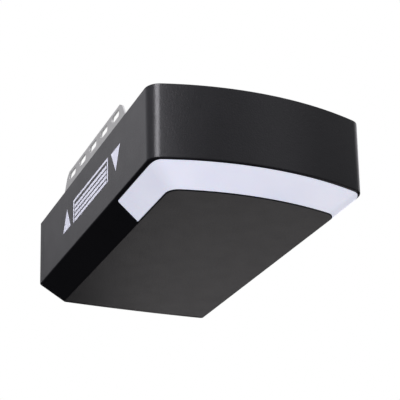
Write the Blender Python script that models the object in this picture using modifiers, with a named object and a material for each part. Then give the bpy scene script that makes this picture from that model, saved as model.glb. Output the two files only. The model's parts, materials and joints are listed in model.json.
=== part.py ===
"""Garage door opener head: a ceiling unit with a worm-geared DC motor, a slotted bracket on each side and a
lit strip round the front of its underside.

Metres, +Z up, +Y towards the rear. The origin is the middle of the base, under the bottom panel.
"""

import math
from collections import namedtuple

import bmesh
import bpy
from mathutils import Matrix, Vector

# ---------------------------------------------------------------- driving dimensions

WIDTH = 0.252  # across the side walls at their lower edge
WALL_LENGTH = 0.402  # between the front and rear corner lines at that height
WALL_HEIGHT = 0.0863
SLOPE = 0.0252  # height of the slope under the walls
SIDE_INSET = 0.0285  # how far the slope runs in at the sides
DRAFT = 0.0018  # how far the walls lean out over their height
REAR_LEAN = 0.0012  # how far the rear wall leans out over its height
FRONT_BOW = 0.0229
PANEL_FRONT_BOW = 0.0142
REAR_BOW = 0.0025
FRONT_SETBACK = 0.0166  # from the wall's front corner to the panel's
REAR_SETBACK = 0.0156
CORNER_RADIUS = 0.0157
TOP_CORNER_RADIUS = 0.0177
REAR_RADIUS = 0.003
SHELL = 0.0025  # thickness of the plastic
GAP = 0.0003  # between pieces that touch
OVERLAP = 0.0004  # how far solids that are joined into one run into each other
BOARD = 0.0016  # thickness of the circuit boards
BOLT_HOLE = 0.0033  # radius of the holes for the 6 mm bolts

LENS_LENGTH = 0.1085  # from the front corner line to the end of the lens on each side
LENS_TOP = 0.121  # share of the slope above the lens, at the sides
LENS_TOP_FRONT = 0.0515  # the same across the front
LENS_BOTTOM = 0.966  # share of the slope where the lens ends
SEAM_GAP = 0.0006

TOP_SEAM = 0.0125  # from the rear corner line to the rear cap's seam, at the top
WALL_SEAM = 0.0195  # the same at the foot of the wall
PANEL_SEAM = 0.0035

BRACKET_X = 0.1206  # outer face of each hanger bracket
BRACKET_TOP = 0.1439
BRACKET_MID_Y = 0.0143
BRACKET_LENGTH = 0.2005  # along its top edge
BRACKET_SPLAY = 0.62  # slant of its ends, as run over rise
SLOT_PITCH = 0.0405
SLOT_COUNT = 5
SLOT_LENGTH = 0.0235
SLOT_HEIGHT = 0.0088
SLOT_CORNER = 0.003
SLOT_DROP = 0.0088  # from the top edge to the slots' centre line
STEEL = 0.002

TEETH = 32
MODULE = 0.002
WORM_PITCH_RADIUS = 0.009
DRIVE_Y = -0.050  # output shaft's axis
WORM_Z = 0.075  # height of the worm's axis

COVER_TOP = SLOPE + WALL_HEIGHT
PLATE_TOP = COVER_TOP + 0.0005
PLATE_BOTTOM = PLATE_TOP - STEEL
FOOT_BOTTOM = PLATE_TOP + GAP
FOOT_TOP = FOOT_BOTTOM + STEEL

# The corner lines sit so that the whole head is centred on the origin.
FRONT_REACH = FRONT_BOW + DRAFT
REAR_REACH = REAR_BOW + REAR_LEAN
FRONT_Y = -(WALL_LENGTH + REAR_REACH - FRONT_REACH) / 2
REAR_Y = FRONT_Y + WALL_LENGTH
LENS_END_Y = FRONT_Y + LENS_LENGTH

WHEEL_RADIUS = MODULE * TEETH / 2
LEAD = math.pi * MODULE
WORM_X = WHEEL_RADIUS + WORM_PITCH_RADIUS

# ---------------------------------------------------------------- materials

BLACK_PLASTIC = ("black_plastic", (0.022, 0.022, 0.024), 0.45, 0.0)
MILKY = ("milky_lens", (0.72, 0.72, 0.84), 0.35, 0.0)
WHITE_PLASTIC = ("white_plastic", (0.80, 0.80, 0.80), 0.40, 0.0)
ZINC = ("zinc_plate", (0.56, 0.56, 0.56), 0.38, 1.0)
DARK_STEEL = ("dark_steel", (0.20, 0.20, 0.21), 0.40, 1.0)
BRIGHT_STEEL = ("bright_steel", (0.62, 0.62, 0.64), 0.25, 1.0)
CAST_ALLOY = ("cast_alloy", (0.45, 0.46, 0.47), 0.50, 1.0)
NYLON = ("nylon", (0.78, 0.76, 0.70), 0.45, 0.0)
COPPER = ("copper", (0.72, 0.33, 0.18), 0.30, 1.0)
FERRITE = ("ferrite", (0.05, 0.05, 0.05), 0.70, 0.0)
YELLOW_TAPE = ("yellow_tape", (0.72, 0.52, 0.06), 0.45, 0.0)
BOARD_GREEN = ("board_green", (0.02, 0.16, 0.06), 0.40, 0.0)
RELAY_BLUE = ("relay_blue", (0.03, 0.12, 0.40), 0.40, 0.0)
TERMINAL_GREEN = ("terminal_green", (0.04, 0.38, 0.14), 0.45, 0.0)
SLEEVE_BLACK = ("sleeve_black", (0.03, 0.03, 0.035), 0.30, 0.0)
BUTTON_GREY = ("button_grey", (0.35, 0.35, 0.36), 0.50, 0.0)
BUTTON_RED = ("button_red", (0.55, 0.04, 0.03), 0.45, 0.0)
BRASS = ("brass", (0.70, 0.52, 0.20), 0.30, 1.0)


def clear_scene():
    for obj in list(bpy.data.objects):
        bpy.data.objects.remove(obj, do_unlink=True)


def collection(name):
    made = bpy.data.collections.new(name)
    bpy.context.scene.collection.children.link(made)
    return made


def material(finish):
    name, colour, roughness, metallic = finish
    found = bpy.data.materials.get(name)
    if found:
        return found
    made = bpy.data.materials.new(name)
    made.use_nodes = True
    shader = made.node_tree.nodes["Principled BSDF"]
    shader.inputs["Base Color"].default_value = (*colour, 1.0)
    shader.inputs["Roughness"].default_value = roughness
    shader.inputs["Metallic"].default_value = metallic
    return made


# ---------------------------------------------------------------- building blocks


def add_object(name, shape, finish, parent=None, origin=(0, 0, 0)):
    """A node made of a bmesh whose points are in world space. Its own origin is put at the given point."""
    shape.transform(Matrix.Translation(-Vector(origin)))
    mesh = bpy.data.meshes.new(name)
    shape.to_mesh(mesh)
    shape.free()
    obj = bpy.data.objects.new(name, mesh)
    PARTS.objects.link(obj)
    mesh.materials.append(material(finish))
    place(obj, origin, parent)
    return obj


def place(obj, origin, parent):
    obj.location = Vector(origin)
    if parent:
        obj.parent = parent
        obj.location = Vector(origin) - parent.location


def add_helper(name, shape):
    """A hidden solid that other solids are cut with or joined to."""
    bmesh.ops.recalc_face_normals(shape, faces=shape.faces)
    mesh = bpy.data.meshes.new(name)
    shape.to_mesh(mesh)
    shape.free()
    obj = bpy.data.objects.new(name, mesh)
    CUTTERS.objects.link(obj)
    obj.hide_render = True
    obj.display_type = "WIRE"
    return obj


def combine(obj, shape, operation):
    helper = add_helper(obj.name + "_" + operation.lower(), shape)
    boolean = obj.modifiers.new(operation.title(), "BOOLEAN")
    boolean.operation = operation
    boolean.object = helper
    return obj


def cut(obj, shape):
    return combine(obj, shape, "DIFFERENCE")


def join(obj, shape):
    return combine(obj, shape, "UNION")


def axis_matrix(axis):
    """Turns local +Z onto the named world axis."""
    if axis == "X":
        return Matrix.Rotation(math.pi / 2, 4, "Y")
    if axis == "Y":
        return Matrix.Rotation(-math.pi / 2, 4, "X")
    return Matrix.Identity(4)


def rod(shape, radius, start, length, axis="Z", sides=20):
    """Adds a cylinder that runs from start along +axis."""
    turn = axis_matrix(axis)
    middle = Vector(start) + turn @ Vector((0, 0, length / 2))
    bmesh.ops.create_cone(
        shape,
        cap_ends=True,
        segments=sides,
        radius1=radius,
        radius2=radius,
        depth=length,
        matrix=Matrix.Translation(middle) @ turn,
    )
    return shape


def block(shape, low, high):
    """Adds a box between two corners."""
    low, high = Vector(low), Vector(high)
    size = high - low
    middle = (high + low) / 2
    bmesh.ops.create_cube(shape, size=1.0, matrix=Matrix.Translation(middle) @ Matrix.Diagonal((*size, 1)))
    return shape


def prism(shape, outline, start, length, axis="Z"):
    """Adds a flat outline pushed along +axis; the outline is in the plane square to it."""
    turn = Matrix.Translation(Vector(start)) @ axis_matrix(axis)
    rows = []
    for height in (0, length):
        rows.append([shape.verts.new(turn @ Vector((x, y, height))) for x, y in outline])
    faces = [shape.faces.new(rows[0][::-1]), shape.faces.new(rows[1])]
    for i in range(len(outline)):
        j = (i + 1) % len(outline)
        faces.append(shape.faces.new((rows[0][i], rows[0][j], rows[1][j], rows[1][i])))
    bmesh.ops.recalc_face_normals(shape, faces=faces)
    return shape


def soften(obj, width, segments=2):
    bevel = obj.modifiers.new("Bevel", "BEVEL")
    bevel.width = width
    bevel.segments = segments
    bevel.limit_method = "ANGLE"
    return obj


def turned(name, profile, finish, start, axis="Z", sides=24, parent=None, origin=None):
    """A turned piece. The profile is (radius, height) from the top of the outside downwards."""
    mesh = bpy.data.meshes.new(name)
    closed = profile[0] == profile[-1]
    points = profile[:-1] if closed else profile
    edges = [(i, i + 1) for i in range(len(points) - 1)]
    if closed:
        edges.append((len(points) - 1, 0))
    mesh.from_pydata([(radius, 0, height) for radius, height in points], edges, [])
    mesh.materials.append(material(finish))
    obj = bpy.data.objects.new(name, mesh)
    PARTS.objects.link(obj)
    obj.rotation_euler = axis_matrix(axis).to_euler()
    place(obj, start, parent)
    screw = obj.modifiers.new("Screw", "SCREW")
    screw.steps = sides
    screw.render_steps = sides
    screw.use_merge_vertices = True
    screw.merge_threshold = 0.00001
    return obj


def ring_profile(inner, outer, height, start=0.0):
    """Closed section of a plain ring, for turned()."""
    top, bottom = start + height, start
    return [(inner, top), (outer, top), (outer, bottom), (inner, bottom), (inner, top)]


def rounded_slot(length, height, radius, steps=3):
    """A slot's outline: its length is along the second coordinate, in the plane's own axes."""
    across, along = height / 2 - radius, length / 2 - radius
    points = []
    for quarter, (x, y) in enumerate(((1, 1), (-1, 1), (-1, -1), (1, -1))):
        for step in range(steps + 1):
            angle = math.pi / 2 * (quarter + step / steps)
            points.append((x * across + radius * math.cos(angle), y * along + radius * math.sin(angle)))
    return points


# ---------------------------------------------------------------- the housing's form

Level = namedtuple(
    "Level", "height half_width front_y front_bow front_radius rear_y rear_bow rear_radius seam_y"
)

WALL_LEVEL = Level(
    height=SLOPE,
    half_width=WIDTH / 2,
    front_y=FRONT_Y,
    front_bow=FRONT_BOW,
    front_radius=CORNER_RADIUS,
    rear_y=REAR_Y,
    rear_bow=REAR_BOW,
    rear_radius=REAR_RADIUS,
    seam_y=REAR_Y - WALL_SEAM,
)
TOP_LEVEL = WALL_LEVEL._replace(
    height=COVER_TOP,
    half_width=WIDTH / 2 + DRAFT,
    front_y=FRONT_Y - DRAFT,
    front_radius=TOP_CORNER_RADIUS,
    rear_y=REAR_Y + REAR_LEAN,
    seam_y=REAR_Y + REAR_LEAN - TOP_SEAM,
)
PANEL_LEVEL = WALL_LEVEL._replace(
    height=0.0,
    half_width=WIDTH / 2 - SIDE_INSET,
    front_y=FRONT_Y + FRONT_SETBACK,
    front_bow=PANEL_FRONT_BOW,
    rear_y=REAR_Y - REAR_SETBACK,
    seam_y=REAR_Y - REAR_SETBACK - PANEL_SEAM,
)


def between(first, second, share):
    return Level(*(a + (b - a) * share for a, b in zip(first, second)))


def shrunk(level, distance, lift=0.0):
    """The same level, moved inwards all round and raised."""
    return level._replace(
        height=level.height + lift,
        half_width=level.half_width - distance,
        front_y=level.front_y + distance,
        front_radius=max(level.front_radius - distance, 0.002),
        rear_y=level.rear_y - distance,
        rear_radius=max(level.rear_radius - distance, 0.001),
    )


def bowed_end(half_width, corner_y, bow, radius, arc_steps, corner_steps):
    """From the middle of an edge that bows to -Y to the end of its rounded corner."""
    arc = (half_width**2 + bow**2) / (2 * bow)
    arc_y = corner_y - bow + arc
    reach = math.sqrt((arc - radius) ** 2 - (half_width - radius) ** 2)
    turn = math.atan2(half_width - radius, reach)
    points = []
    for step in range(arc_steps + 1):
        angle = turn * step / arc_steps
        points.append((arc * math.sin(angle), arc_y - arc * math.cos(angle)))
    for step in range(1, corner_steps + 1):
        angle = turn + (math.pi / 2 - turn) * step / corner_steps
        x = half_width - radius + radius * math.sin(angle)
        points.append((x, arc_y - reach - radius * math.cos(angle)))
    return points


ARC_STEPS = 7  # along half of the bowed front
CORNER_STEPS = 5


def front_half(level):
    bow, radius = level.front_bow, level.front_radius
    return bowed_end(level.half_width, level.front_y, bow, radius, ARC_STEPS, CORNER_STEPS)


def rear_half(level):
    arc_steps, corner_steps = 5, 2
    bow, radius = level.rear_bow, level.rear_radius
    flipped = bowed_end(level.half_width, -level.rear_y, bow, radius, arc_steps, corner_steps)
    return [(x, -y) for x, y in reversed(flipped)]


def at_height(points, height):
    return [(x, y, height) for x, y in points]


def slope_row(wall, panel, front_share, side_share, ends):
    """A line round the slope. Its share changes in the corner, and it runs back to each y in ends."""
    row = []
    for station in range(ARC_STEPS + CORNER_STEPS + 1):
        turn = max(station - ARC_STEPS, 0) / CORNER_STEPS
        level = between(wall, panel, front_share + (side_share - front_share) * turn)
        row.append((*front_half(level)[station], level.height))
    level = between(wall, panel, side_share)
    return row + [(level.half_width, y, level.height) for y in ends(level)]


def surface(rings, skipped=()):
    """Open surface through rings of equal length, listed from the top down and each from front to rear.
    skipped holds (ring, station) pairs that get no face."""
    shape = bmesh.new()
    rows = [[shape.verts.new(point) for point in ring] for ring in rings]
    for r in range(len(rows) - 1):
        for s in range(len(rows[r]) - 1):
            if (r, s) not in skipped:
                shape.faces.new((rows[r][s], rows[r + 1][s], rows[r + 1][s + 1], rows[r][s + 1]))
    return shape, rows


def plastic(name, shape, finish, thickness):
    """Mirrors a right half and gives it its thickness, inwards."""
    obj = add_object(name, shape, finish)
    mirror = obj.modifiers.new("Mirror", "MIRROR")
    mirror.merge_threshold = 0.00001
    solidify = obj.modifiers.new("Solidify", "SOLIDIFY")
    solidify.thickness = thickness
    solidify.offset = -1.0
    solidify.use_even_offset = True
    return obj


COVER_POSTS = [(side * x, y) for x, y in ((0.076, -0.150), (0.088, 0.140)) for side in (-1, 1)]
POST_RADIUS = 0.0048
POST_PILOT_RADIUS = 0.0021
POST_PILOT_DEPTH = 0.014


def make_cover_shell():
    """Walls, slope and bottom panel up to the rear cap's seam, open where the lens goes."""
    shares = ((0.0, 0.0), (LENS_TOP_FRONT, LENS_TOP), (LENS_BOTTOM, LENS_BOTTOM), (1.0, 1.0))

    def ends(level):
        return LENS_END_Y, level.seam_y - SEAM_GAP / 2

    rings = [slope_row(TOP_LEVEL, WALL_LEVEL, 0.0, 0.0, ends)]
    rings += [slope_row(WALL_LEVEL, PANEL_LEVEL, front, side, ends) for front, side in shares]
    opening = {(2, station) for station in range(ARC_STEPS + CORNER_STEPS + 1)}
    shape, rows = surface(rings, opening)
    middle = shape.verts.new((0, PANEL_LEVEL.seam_y - SEAM_GAP / 2, 0))
    shape.faces.new([middle, *reversed(rows[-1])])
    shell = plastic("cover_shell", shape, BLACK_PLASTIC, SHELL)
    posts, pilots = bmesh.new(), bmesh.new()
    post_top = PLATE_BOTTOM - GAP
    pilot_bottom = post_top - POST_PILOT_DEPTH
    for x, y in COVER_POSTS:
        rod(posts, POST_RADIUS, (x, y, SHELL / 2), post_top - SHELL / 2, sides=12)
        rod(pilots, POST_PILOT_RADIUS, (x, y, pilot_bottom), POST_PILOT_DEPTH + 0.001, sides=10)
    join(shell, posts)
    return cut(shell, pilots)


def make_light_strip(name, finish, shares, depth, thickness, shorten):
    """A U-shaped strip parallel to the slope, at a depth behind its face. Each of its two edges has
    a pair of shares of the slope, for the front and the sides."""
    inset = depth / math.sqrt(2)
    wall, panel = shrunk(WALL_LEVEL, inset, inset), shrunk(PANEL_LEVEL, inset, inset)
    end = LENS_END_Y - shorten
    rings = [slope_row(wall, panel, front, side, lambda level: [end]) for front, side in shares]
    shape, _ = surface(rings)
    return plastic(name, shape, finish, thickness)


def make_light():
    slit = 0.012  # share of the slope, about 0.45 mm
    upper, lower = (LENS_TOP_FRONT + slit, LENS_TOP + slit), (LENS_BOTTOM - slit, LENS_BOTTOM - slit)
    led_edges = ((0.42, 0.42), (0.62, 0.62))
    tray_edges = ((0.16, 0.16), (0.86, 0.86))
    make_light_strip("light_lens", MILKY, (upper, lower), depth=0.0, thickness=0.0026, shorten=0.0005)
    make_light_strip("led_strip", WHITE_PLASTIC, led_edges, depth=0.0110, thickness=0.0010, shorten=0.006)
    make_light_strip("light_tray", WHITE_PLASTIC, tray_edges, depth=0.0123, thickness=0.0015, shorten=0.002)


BUTTONS = {"up": 0.040, "down": 0.058, "learn": 0.076}
BUTTON_Z = 0.060
BUTTON_RADIUS = 0.004
INLET_X = -0.070
INLET_Z = 0.060
INLET_SIZE = (0.0280, 0.0220)  # outside, across and high
CAP_SCREWS = [(-0.080, 0.101), (0.080, 0.101)]
REAR_FLANGE_Y = 0.2002
BOARD_MOUNTS = [(0.028, 0.060), (0.088, 0.060)]
BUTTON_BOARD_Y = 0.1992
CAP_BOSS_RADIUS = 0.0048
BOARD_BOSS_RADIUS = 0.0030
CAP_PILOT_RADIUS = 0.0020
WIRE_ENTRY = (0.034, 0.010)  # slot for the low-voltage wires, across and high
WIRE_ENTRY_Z = 0.060
CAP_CUT_Y = (0.197, 0.220)  # from where to where the openings in the rear wall are cut


def rear_face_y(x, z):
    """Outside of the rear wall."""
    share = (z - SLOPE) / WALL_HEIGHT
    level = between(WALL_LEVEL, TOP_LEVEL, share)
    return level.rear_y + level.rear_bow * (1 - (x / level.half_width) ** 2)


def make_rear_cap():
    rings = []
    for level in (TOP_LEVEL, WALL_LEVEL, PANEL_LEVEL):
        points = [(level.half_width, level.seam_y + SEAM_GAP / 2), *rear_half(level)]
        rings.append(at_height(points, level.height))
    shape, rows = surface(rings)
    middle = shape.verts.new((0, PANEL_LEVEL.seam_y + SEAM_GAP / 2, 0))
    shape.faces.new([middle, *reversed(rows[-1])])
    cap = plastic("rear_cap", shape, BLACK_PLASTIC, SHELL)
    bosses, holes = bmesh.new(), bmesh.new()
    for x, z in CAP_SCREWS:
        face = rear_face_y(x, z)
        start = REAR_FLANGE_Y + STEEL + GAP
        rod(bosses, CAP_BOSS_RADIUS, (x, start, z), face - SHELL / 2 - start, "Y", 12)
        rod(holes, CAP_PILOT_RADIUS, (x, start - 0.001, z), face - start + 0.004, "Y", 10)
    for x, z in BOARD_MOUNTS:
        start = BUTTON_BOARD_Y + BOARD + GAP
        rod(bosses, BOARD_BOSS_RADIUS, (x, start, z), rear_face_y(x, z) - SHELL / 2 - start, "Y", 10)
    for x in BUTTONS.values():
        start = rear_face_y(x, BUTTON_Z) - 0.008
        rod(holes, BUTTON_RADIUS + GAP, (x, start, BUTTON_Z), 0.014, "Y", 16)
    front, rear = CAP_CUT_Y
    across, high = (size / 2 + GAP for size in INLET_SIZE)
    block(holes, (INLET_X - across, front, INLET_Z - high), (INLET_X + across, rear, INLET_Z + high))
    across, high = (size / 2 for size in WIRE_ENTRY)
    block(holes, (-across, front, WIRE_ENTRY_Z - high), (across, rear, WIRE_ENTRY_Z + high))
    join(cap, bosses)
    return cut(cap, holes)


# ---------------------------------------------------------------- steelwork

BRACKET_BOLTS = [BRACKET_MID_Y - 0.080, BRACKET_MID_Y + 0.080]
BRACKET_BOLT_X = BRACKET_X - 0.017
FOOT_WIDTH = 0.028
SADDLE_Y = (-0.155, -0.085)
SADDLE_HALF = 0.023
SADDLE_TOP = 0.1315
SADDLE_BOLTS = [(0, -0.140), (0, -0.100)]
RAIL_BOLT_Z = 0.1235
DRIVE_HOLE_RADIUS = 0.013
GEARBOX_BOLTS = [(-0.034, DRIVE_Y - 0.034), (-0.034, DRIVE_Y + 0.034), (0.062, DRIVE_Y)]
TOROID = (-0.050, 0.070)
STANDOFFS = [(x, y) for x in (-0.056, 0.072) for y in (0.128, 0.184)]
BOARD_Z = 0.088
SIDE_FLANGE_Y = (-0.160, 0.180)
SIDE_FLANGE_Z = 0.096
REAR_FLANGE_HALF = 0.100
REAR_FLANGE_Z = 0.092
STANDOFF_RADIUS = 0.0035


def make_chassis_plate():
    """Top plate that fills the cover's mouth, with flanges bent down at the sides and the rear."""
    level = shrunk(TOP_LEVEL, 0.0035)
    right = front_half(level) + rear_half(level)
    left = [(-x, y) for x, y in reversed(right[1:-1])]
    plate = add_object("chassis_plate", prism(bmesh.new(), right + left, (0, 0, PLATE_BOTTOM), STEEL), ZINC)
    flanges = bmesh.new()
    edge, top = level.half_width - OVERLAP, PLATE_TOP - OVERLAP
    front, rear = SIDE_FLANGE_Y
    for side in (-1, 1):
        low = min(side * edge, side * (edge - STEEL))
        block(flanges, (low, front, SIDE_FLANGE_Z), (low + STEEL, rear, top))
    low_corner = (-REAR_FLANGE_HALF, REAR_FLANGE_Y, REAR_FLANGE_Z)
    block(flanges, low_corner, (REAR_FLANGE_HALF, REAR_FLANGE_Y + STEEL, top))
    for x, y in STANDOFFS:
        start = BOARD_Z + BOARD + GAP
        rod(flanges, STANDOFF_RADIUS, (x, y, start), top - start, sides=8)
    join(plate, flanges)
    holes = bmesh.new()
    under = PLATE_BOTTOM - 0.001
    depth = STEEL + 0.002
    for x, y in COVER_POSTS:
        rod(holes, 0.0023, (x, y, under), depth, sides=12)
    for y in BRACKET_BOLTS:
        for side in (-1, 1):
            rod(holes, BOLT_HOLE, (side * BRACKET_BOLT_X, y, under), depth, sides=12)
    for x, y in SADDLE_BOLTS:
        rod(holes, BOLT_HOLE, (x, y, under), depth, sides=12)
    for x, y in GEARBOX_BOLTS:
        rod(holes, BOLT_HOLE, (x, y, under), depth, sides=12)
    rod(holes, BOLT_HOLE, (*TOROID, under), depth, sides=12)
    rod(holes, DRIVE_HOLE_RADIUS, (0, DRIVE_Y, under), depth, sides=24)
    for x, z in CAP_SCREWS:
        rod(holes, 0.0020, (x, REAR_FLANGE_Y - 0.001, z), STEEL + 0.002, "Y", 10)
    return cut(plate, holes)


def make_hanger_bracket(side):
    """Upright flange with a row of slots, on a foot that is bolted to the chassis plate."""
    name = "hanger_bracket_left" if side < 0 else "hanger_bracket_right"
    rise = BRACKET_TOP - FOOT_BOTTOM
    half_top = BRACKET_LENGTH / 2
    half_foot = half_top + rise * BRACKET_SPLAY
    clip = 0.005  # corner cut between the ends and the top edge
    # In the plane square to +X, the first coordinate is -Z and the second +Y.
    outline = [
        (-FOOT_BOTTOM, -half_foot),
        (-FOOT_BOTTOM, half_foot),
        (-BRACKET_TOP + clip, half_top + clip * BRACKET_SPLAY),
        (-BRACKET_TOP, half_top - clip),
        (-BRACKET_TOP, -half_top + clip),
        (-BRACKET_TOP + clip, -half_top - clip * BRACKET_SPLAY),
    ]
    low = min(side * BRACKET_X, side * (BRACKET_X - STEEL))
    shape = prism(bmesh.new(), outline, (low, BRACKET_MID_Y, 0), STEEL, "X")
    bracket = add_object(name, shape, ZINC)
    foot = bmesh.new()
    outer, inner = side * (BRACKET_X - STEEL / 2), side * (BRACKET_X - FOOT_WIDTH)
    block(
        foot,
        (min(outer, inner), BRACKET_MID_Y - half_top, FOOT_BOTTOM),
        (max(outer, inner), BRACKET_MID_Y + half_top, FOOT_TOP),
    )
    join(bracket, foot)
    holes = bmesh.new()
    for index in range(SLOT_COUNT):
        y = BRACKET_MID_Y + SLOT_PITCH * (index - (SLOT_COUNT - 1) / 2)
        start = (low - 0.001, y, BRACKET_TOP - SLOT_DROP)
        slot = rounded_slot(SLOT_LENGTH, SLOT_HEIGHT, SLOT_CORNER)
        prism(holes, slot, start, STEEL + 0.002, "X")
    for y in BRACKET_BOLTS:
        rod(holes, BOLT_HOLE, (side * BRACKET_BOLT_X, y, FOOT_BOTTOM - 0.001), STEEL + 0.002, sides=12)
    return cut(bracket, holes)


def make_rail_saddle():
    """Channel that the end of the drive rail drops into."""
    front, rear = SADDLE_Y
    shape = block(bmesh.new(), (-SADDLE_HALF, front, FOOT_BOTTOM), (SADDLE_HALF, rear, SADDLE_TOP))
    saddle = add_object("rail_saddle", shape, ZINC)
    hollow = bmesh.new()
    inside = SADDLE_HALF - STEEL
    block(hollow, (-inside, front - 0.001, FOOT_TOP), (inside, rear + 0.001, SADDLE_TOP + 0.001))
    cut(saddle, hollow)
    holes = bmesh.new()
    for x, y in SADDLE_BOLTS:
        rod(holes, BOLT_HOLE, (x, y, FOOT_BOTTOM - 0.001), STEEL + 0.002, sides=12)
        rod(holes, BOLT_HOLE, (-SADDLE_HALF - 0.001, y, RAIL_BOLT_Z), 2 * SADDLE_HALF + 0.002, "X", 12)
    return cut(saddle, holes)


def bolt(name, seat, length, axis="Z", head_radius=0.005, head_height=0.004, radius=0.003, side=1):
    """Hexagon-headed bolt whose head rests at seat; its shank runs the other way. side -1 turns it over."""
    shape = bmesh.new()
    rod(shape, head_radius, (0, 0, GAP), head_height, sides=6)
    obj_turn = axis_matrix(axis) @ (Matrix.Identity(4) if side > 0 else Matrix.Rotation(math.pi, 4, "X"))
    shape.transform(Matrix.Translation(Vector(seat)) @ obj_turn)
    made = add_object(name, shape, BRIGHT_STEEL)
    shank = rod(bmesh.new(), radius, (0, 0, -length), length + head_height / 2, sides=12)
    shank.transform(Matrix.Translation(Vector(seat)) @ obj_turn)
    return join(made, shank)


def make_fasteners():
    for number, y in enumerate(BRACKET_BOLTS, 1):
        for word, side in (("left", -1), ("right", 1)):
            bolt(f"bracket_bolt_{word}_{number}", (side * BRACKET_BOLT_X, y, FOOT_TOP), 0.012)
    for number, (x, y) in enumerate(SADDLE_BOLTS, 1):
        bolt(f"saddle_bolt_{number}", (x, y, PLATE_BOTTOM), STEEL * 2 - GAP, side=-1)
    for number, (x, y) in enumerate(GEARBOX_BOLTS, 1):
        bolt(f"gearbox_bolt_{number}", (x, y, PLATE_TOP), 0.060)
    for number, (x, y) in enumerate(COVER_POSTS, 1):
        seat = (x, y, PLATE_TOP)
        bolt(f"cover_screw_{number}", seat, 0.012, head_radius=0.004, head_height=0.0025, radius=0.0017)
    for number, (x, z) in enumerate(CAP_SCREWS, 1):
        seat = (x, rear_face_y(x, z) + 0.0004, z)
        bolt(f"cap_screw_{number}", seat, 0.016, "Y", head_radius=0.0035, head_height=0.0020, radius=0.0016)


# ---------------------------------------------------------------- gearbox and drive

GEAR_WALL = 0.004
CAVITY_RADIUS = 0.0355
BOX_BOTTOM = 0.060
BOX_TOP = 0.098
COVER_BOTTOM = 0.050
BEARING_OUTER = 0.011
BEARING_HEIGHT = 0.007
SHAFT_RADIUS = 0.005
BOX_FRONT, BOX_REAR = DRIVE_Y - 0.038, DRIVE_Y + 0.038
MOTOR_RADIUS = 0.032
MOTOR_FRONT = BOX_REAR + GAP
MOTOR_REAR = MOTOR_FRONT + 0.096
END_CAP_LENGTH = 0.012


def gearbox_body(name, bottom, top, finish):
    """Block with three bolt ears, shared by the gearbox housing and its cover."""
    shape = block(bmesh.new(), (-0.0395, BOX_FRONT, bottom), (0.0565, BOX_REAR, top))
    body = soften(add_object(name, shape, finish), 0.004)
    ears = bmesh.new()
    ear_top = PLATE_BOTTOM - GAP if top == BOX_TOP else top
    for x, y in GEARBOX_BOLTS:
        rod(ears, 0.0085, (x, y, bottom), ear_top - bottom, sides=16)
    return join(body, ears)


def make_gearbox():
    housing = gearbox_body("gearbox_housing", BOX_BOTTOM, BOX_TOP, CAST_ALLOY)
    cut(housing, rod(bmesh.new(), CAVITY_RADIUS, (0, DRIVE_Y, BOX_BOTTOM - 0.001), 0.025, sides=40))
    cut(housing, rod(bmesh.new(), 0.0062, (0, DRIVE_Y, BOX_BOTTOM), BOX_TOP - BOX_BOTTOM + 0.001))
    pockets = rod(bmesh.new(), BEARING_OUTER + GAP, (0, DRIVE_Y, BOX_TOP - 0.008), 0.009, sides=24)
    for x, y in GEARBOX_BOLTS:
        rod(pockets, 0.0034, (x, y, BOX_BOTTOM - 0.001), 0.055, sides=12)
    cut(housing, pockets)
    channel = rod(bmesh.new(), 0.0125, (WORM_X, BOX_FRONT + GEAR_WALL, WORM_Z), 0.080, "Y", 24)
    cut(housing, channel)
    cover = gearbox_body("gearbox_cover", COVER_BOTTOM, BOX_BOTTOM - GAP, CAST_ALLOY)
    pockets = bmesh.new()
    rod(pockets, BEARING_OUTER + GAP, (0, DRIVE_Y, COVER_BOTTOM + 0.002), 0.010, sides=24)
    for x, y in GEARBOX_BOLTS:
        rod(pockets, 0.0034, (x, y, COVER_BOTTOM - 0.001), 0.012, sides=12)
    cut(cover, pockets)
    section = ring_profile(SHAFT_RADIUS + GAP, BEARING_OUTER, BEARING_HEIGHT)
    turned("bearing_upper", section, BRIGHT_STEEL, (0, DRIVE_Y, BOX_TOP - 0.0077))
    turned("bearing_lower", section, BRIGHT_STEEL, (0, DRIVE_Y, COVER_BOTTOM + 0.0023))


def involute(angle):
    return math.tan(angle) - angle


def wheel_outline(tip, root, backlash, pressure=math.radians(20)):
    """Involute teeth, with the gap between two teeth on the +X axis."""
    base = WHEEL_RADIUS * math.cos(pressure)
    half_at_pitch = (math.pi * MODULE / 2 - backlash) / 2 / WHEEL_RADIUS
    points = []
    for tooth in range(TEETH):
        middle = 2 * math.pi * (tooth + 0.5) / TEETH
        flank = []
        for radius in (root, WHEEL_RADIUS - 0.001, tip):
            rolled = math.acos(min(base / radius, 1.0))
            flank.append((radius, half_at_pitch + involute(pressure) - involute(rolled)))
        for radius, half in flank:
            points.append((radius * math.cos(middle - half), radius * math.sin(middle - half)))
        for radius, half in reversed(flank):
            points.append((radius * math.cos(middle + half), radius * math.sin(middle + half)))
    return points


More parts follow.
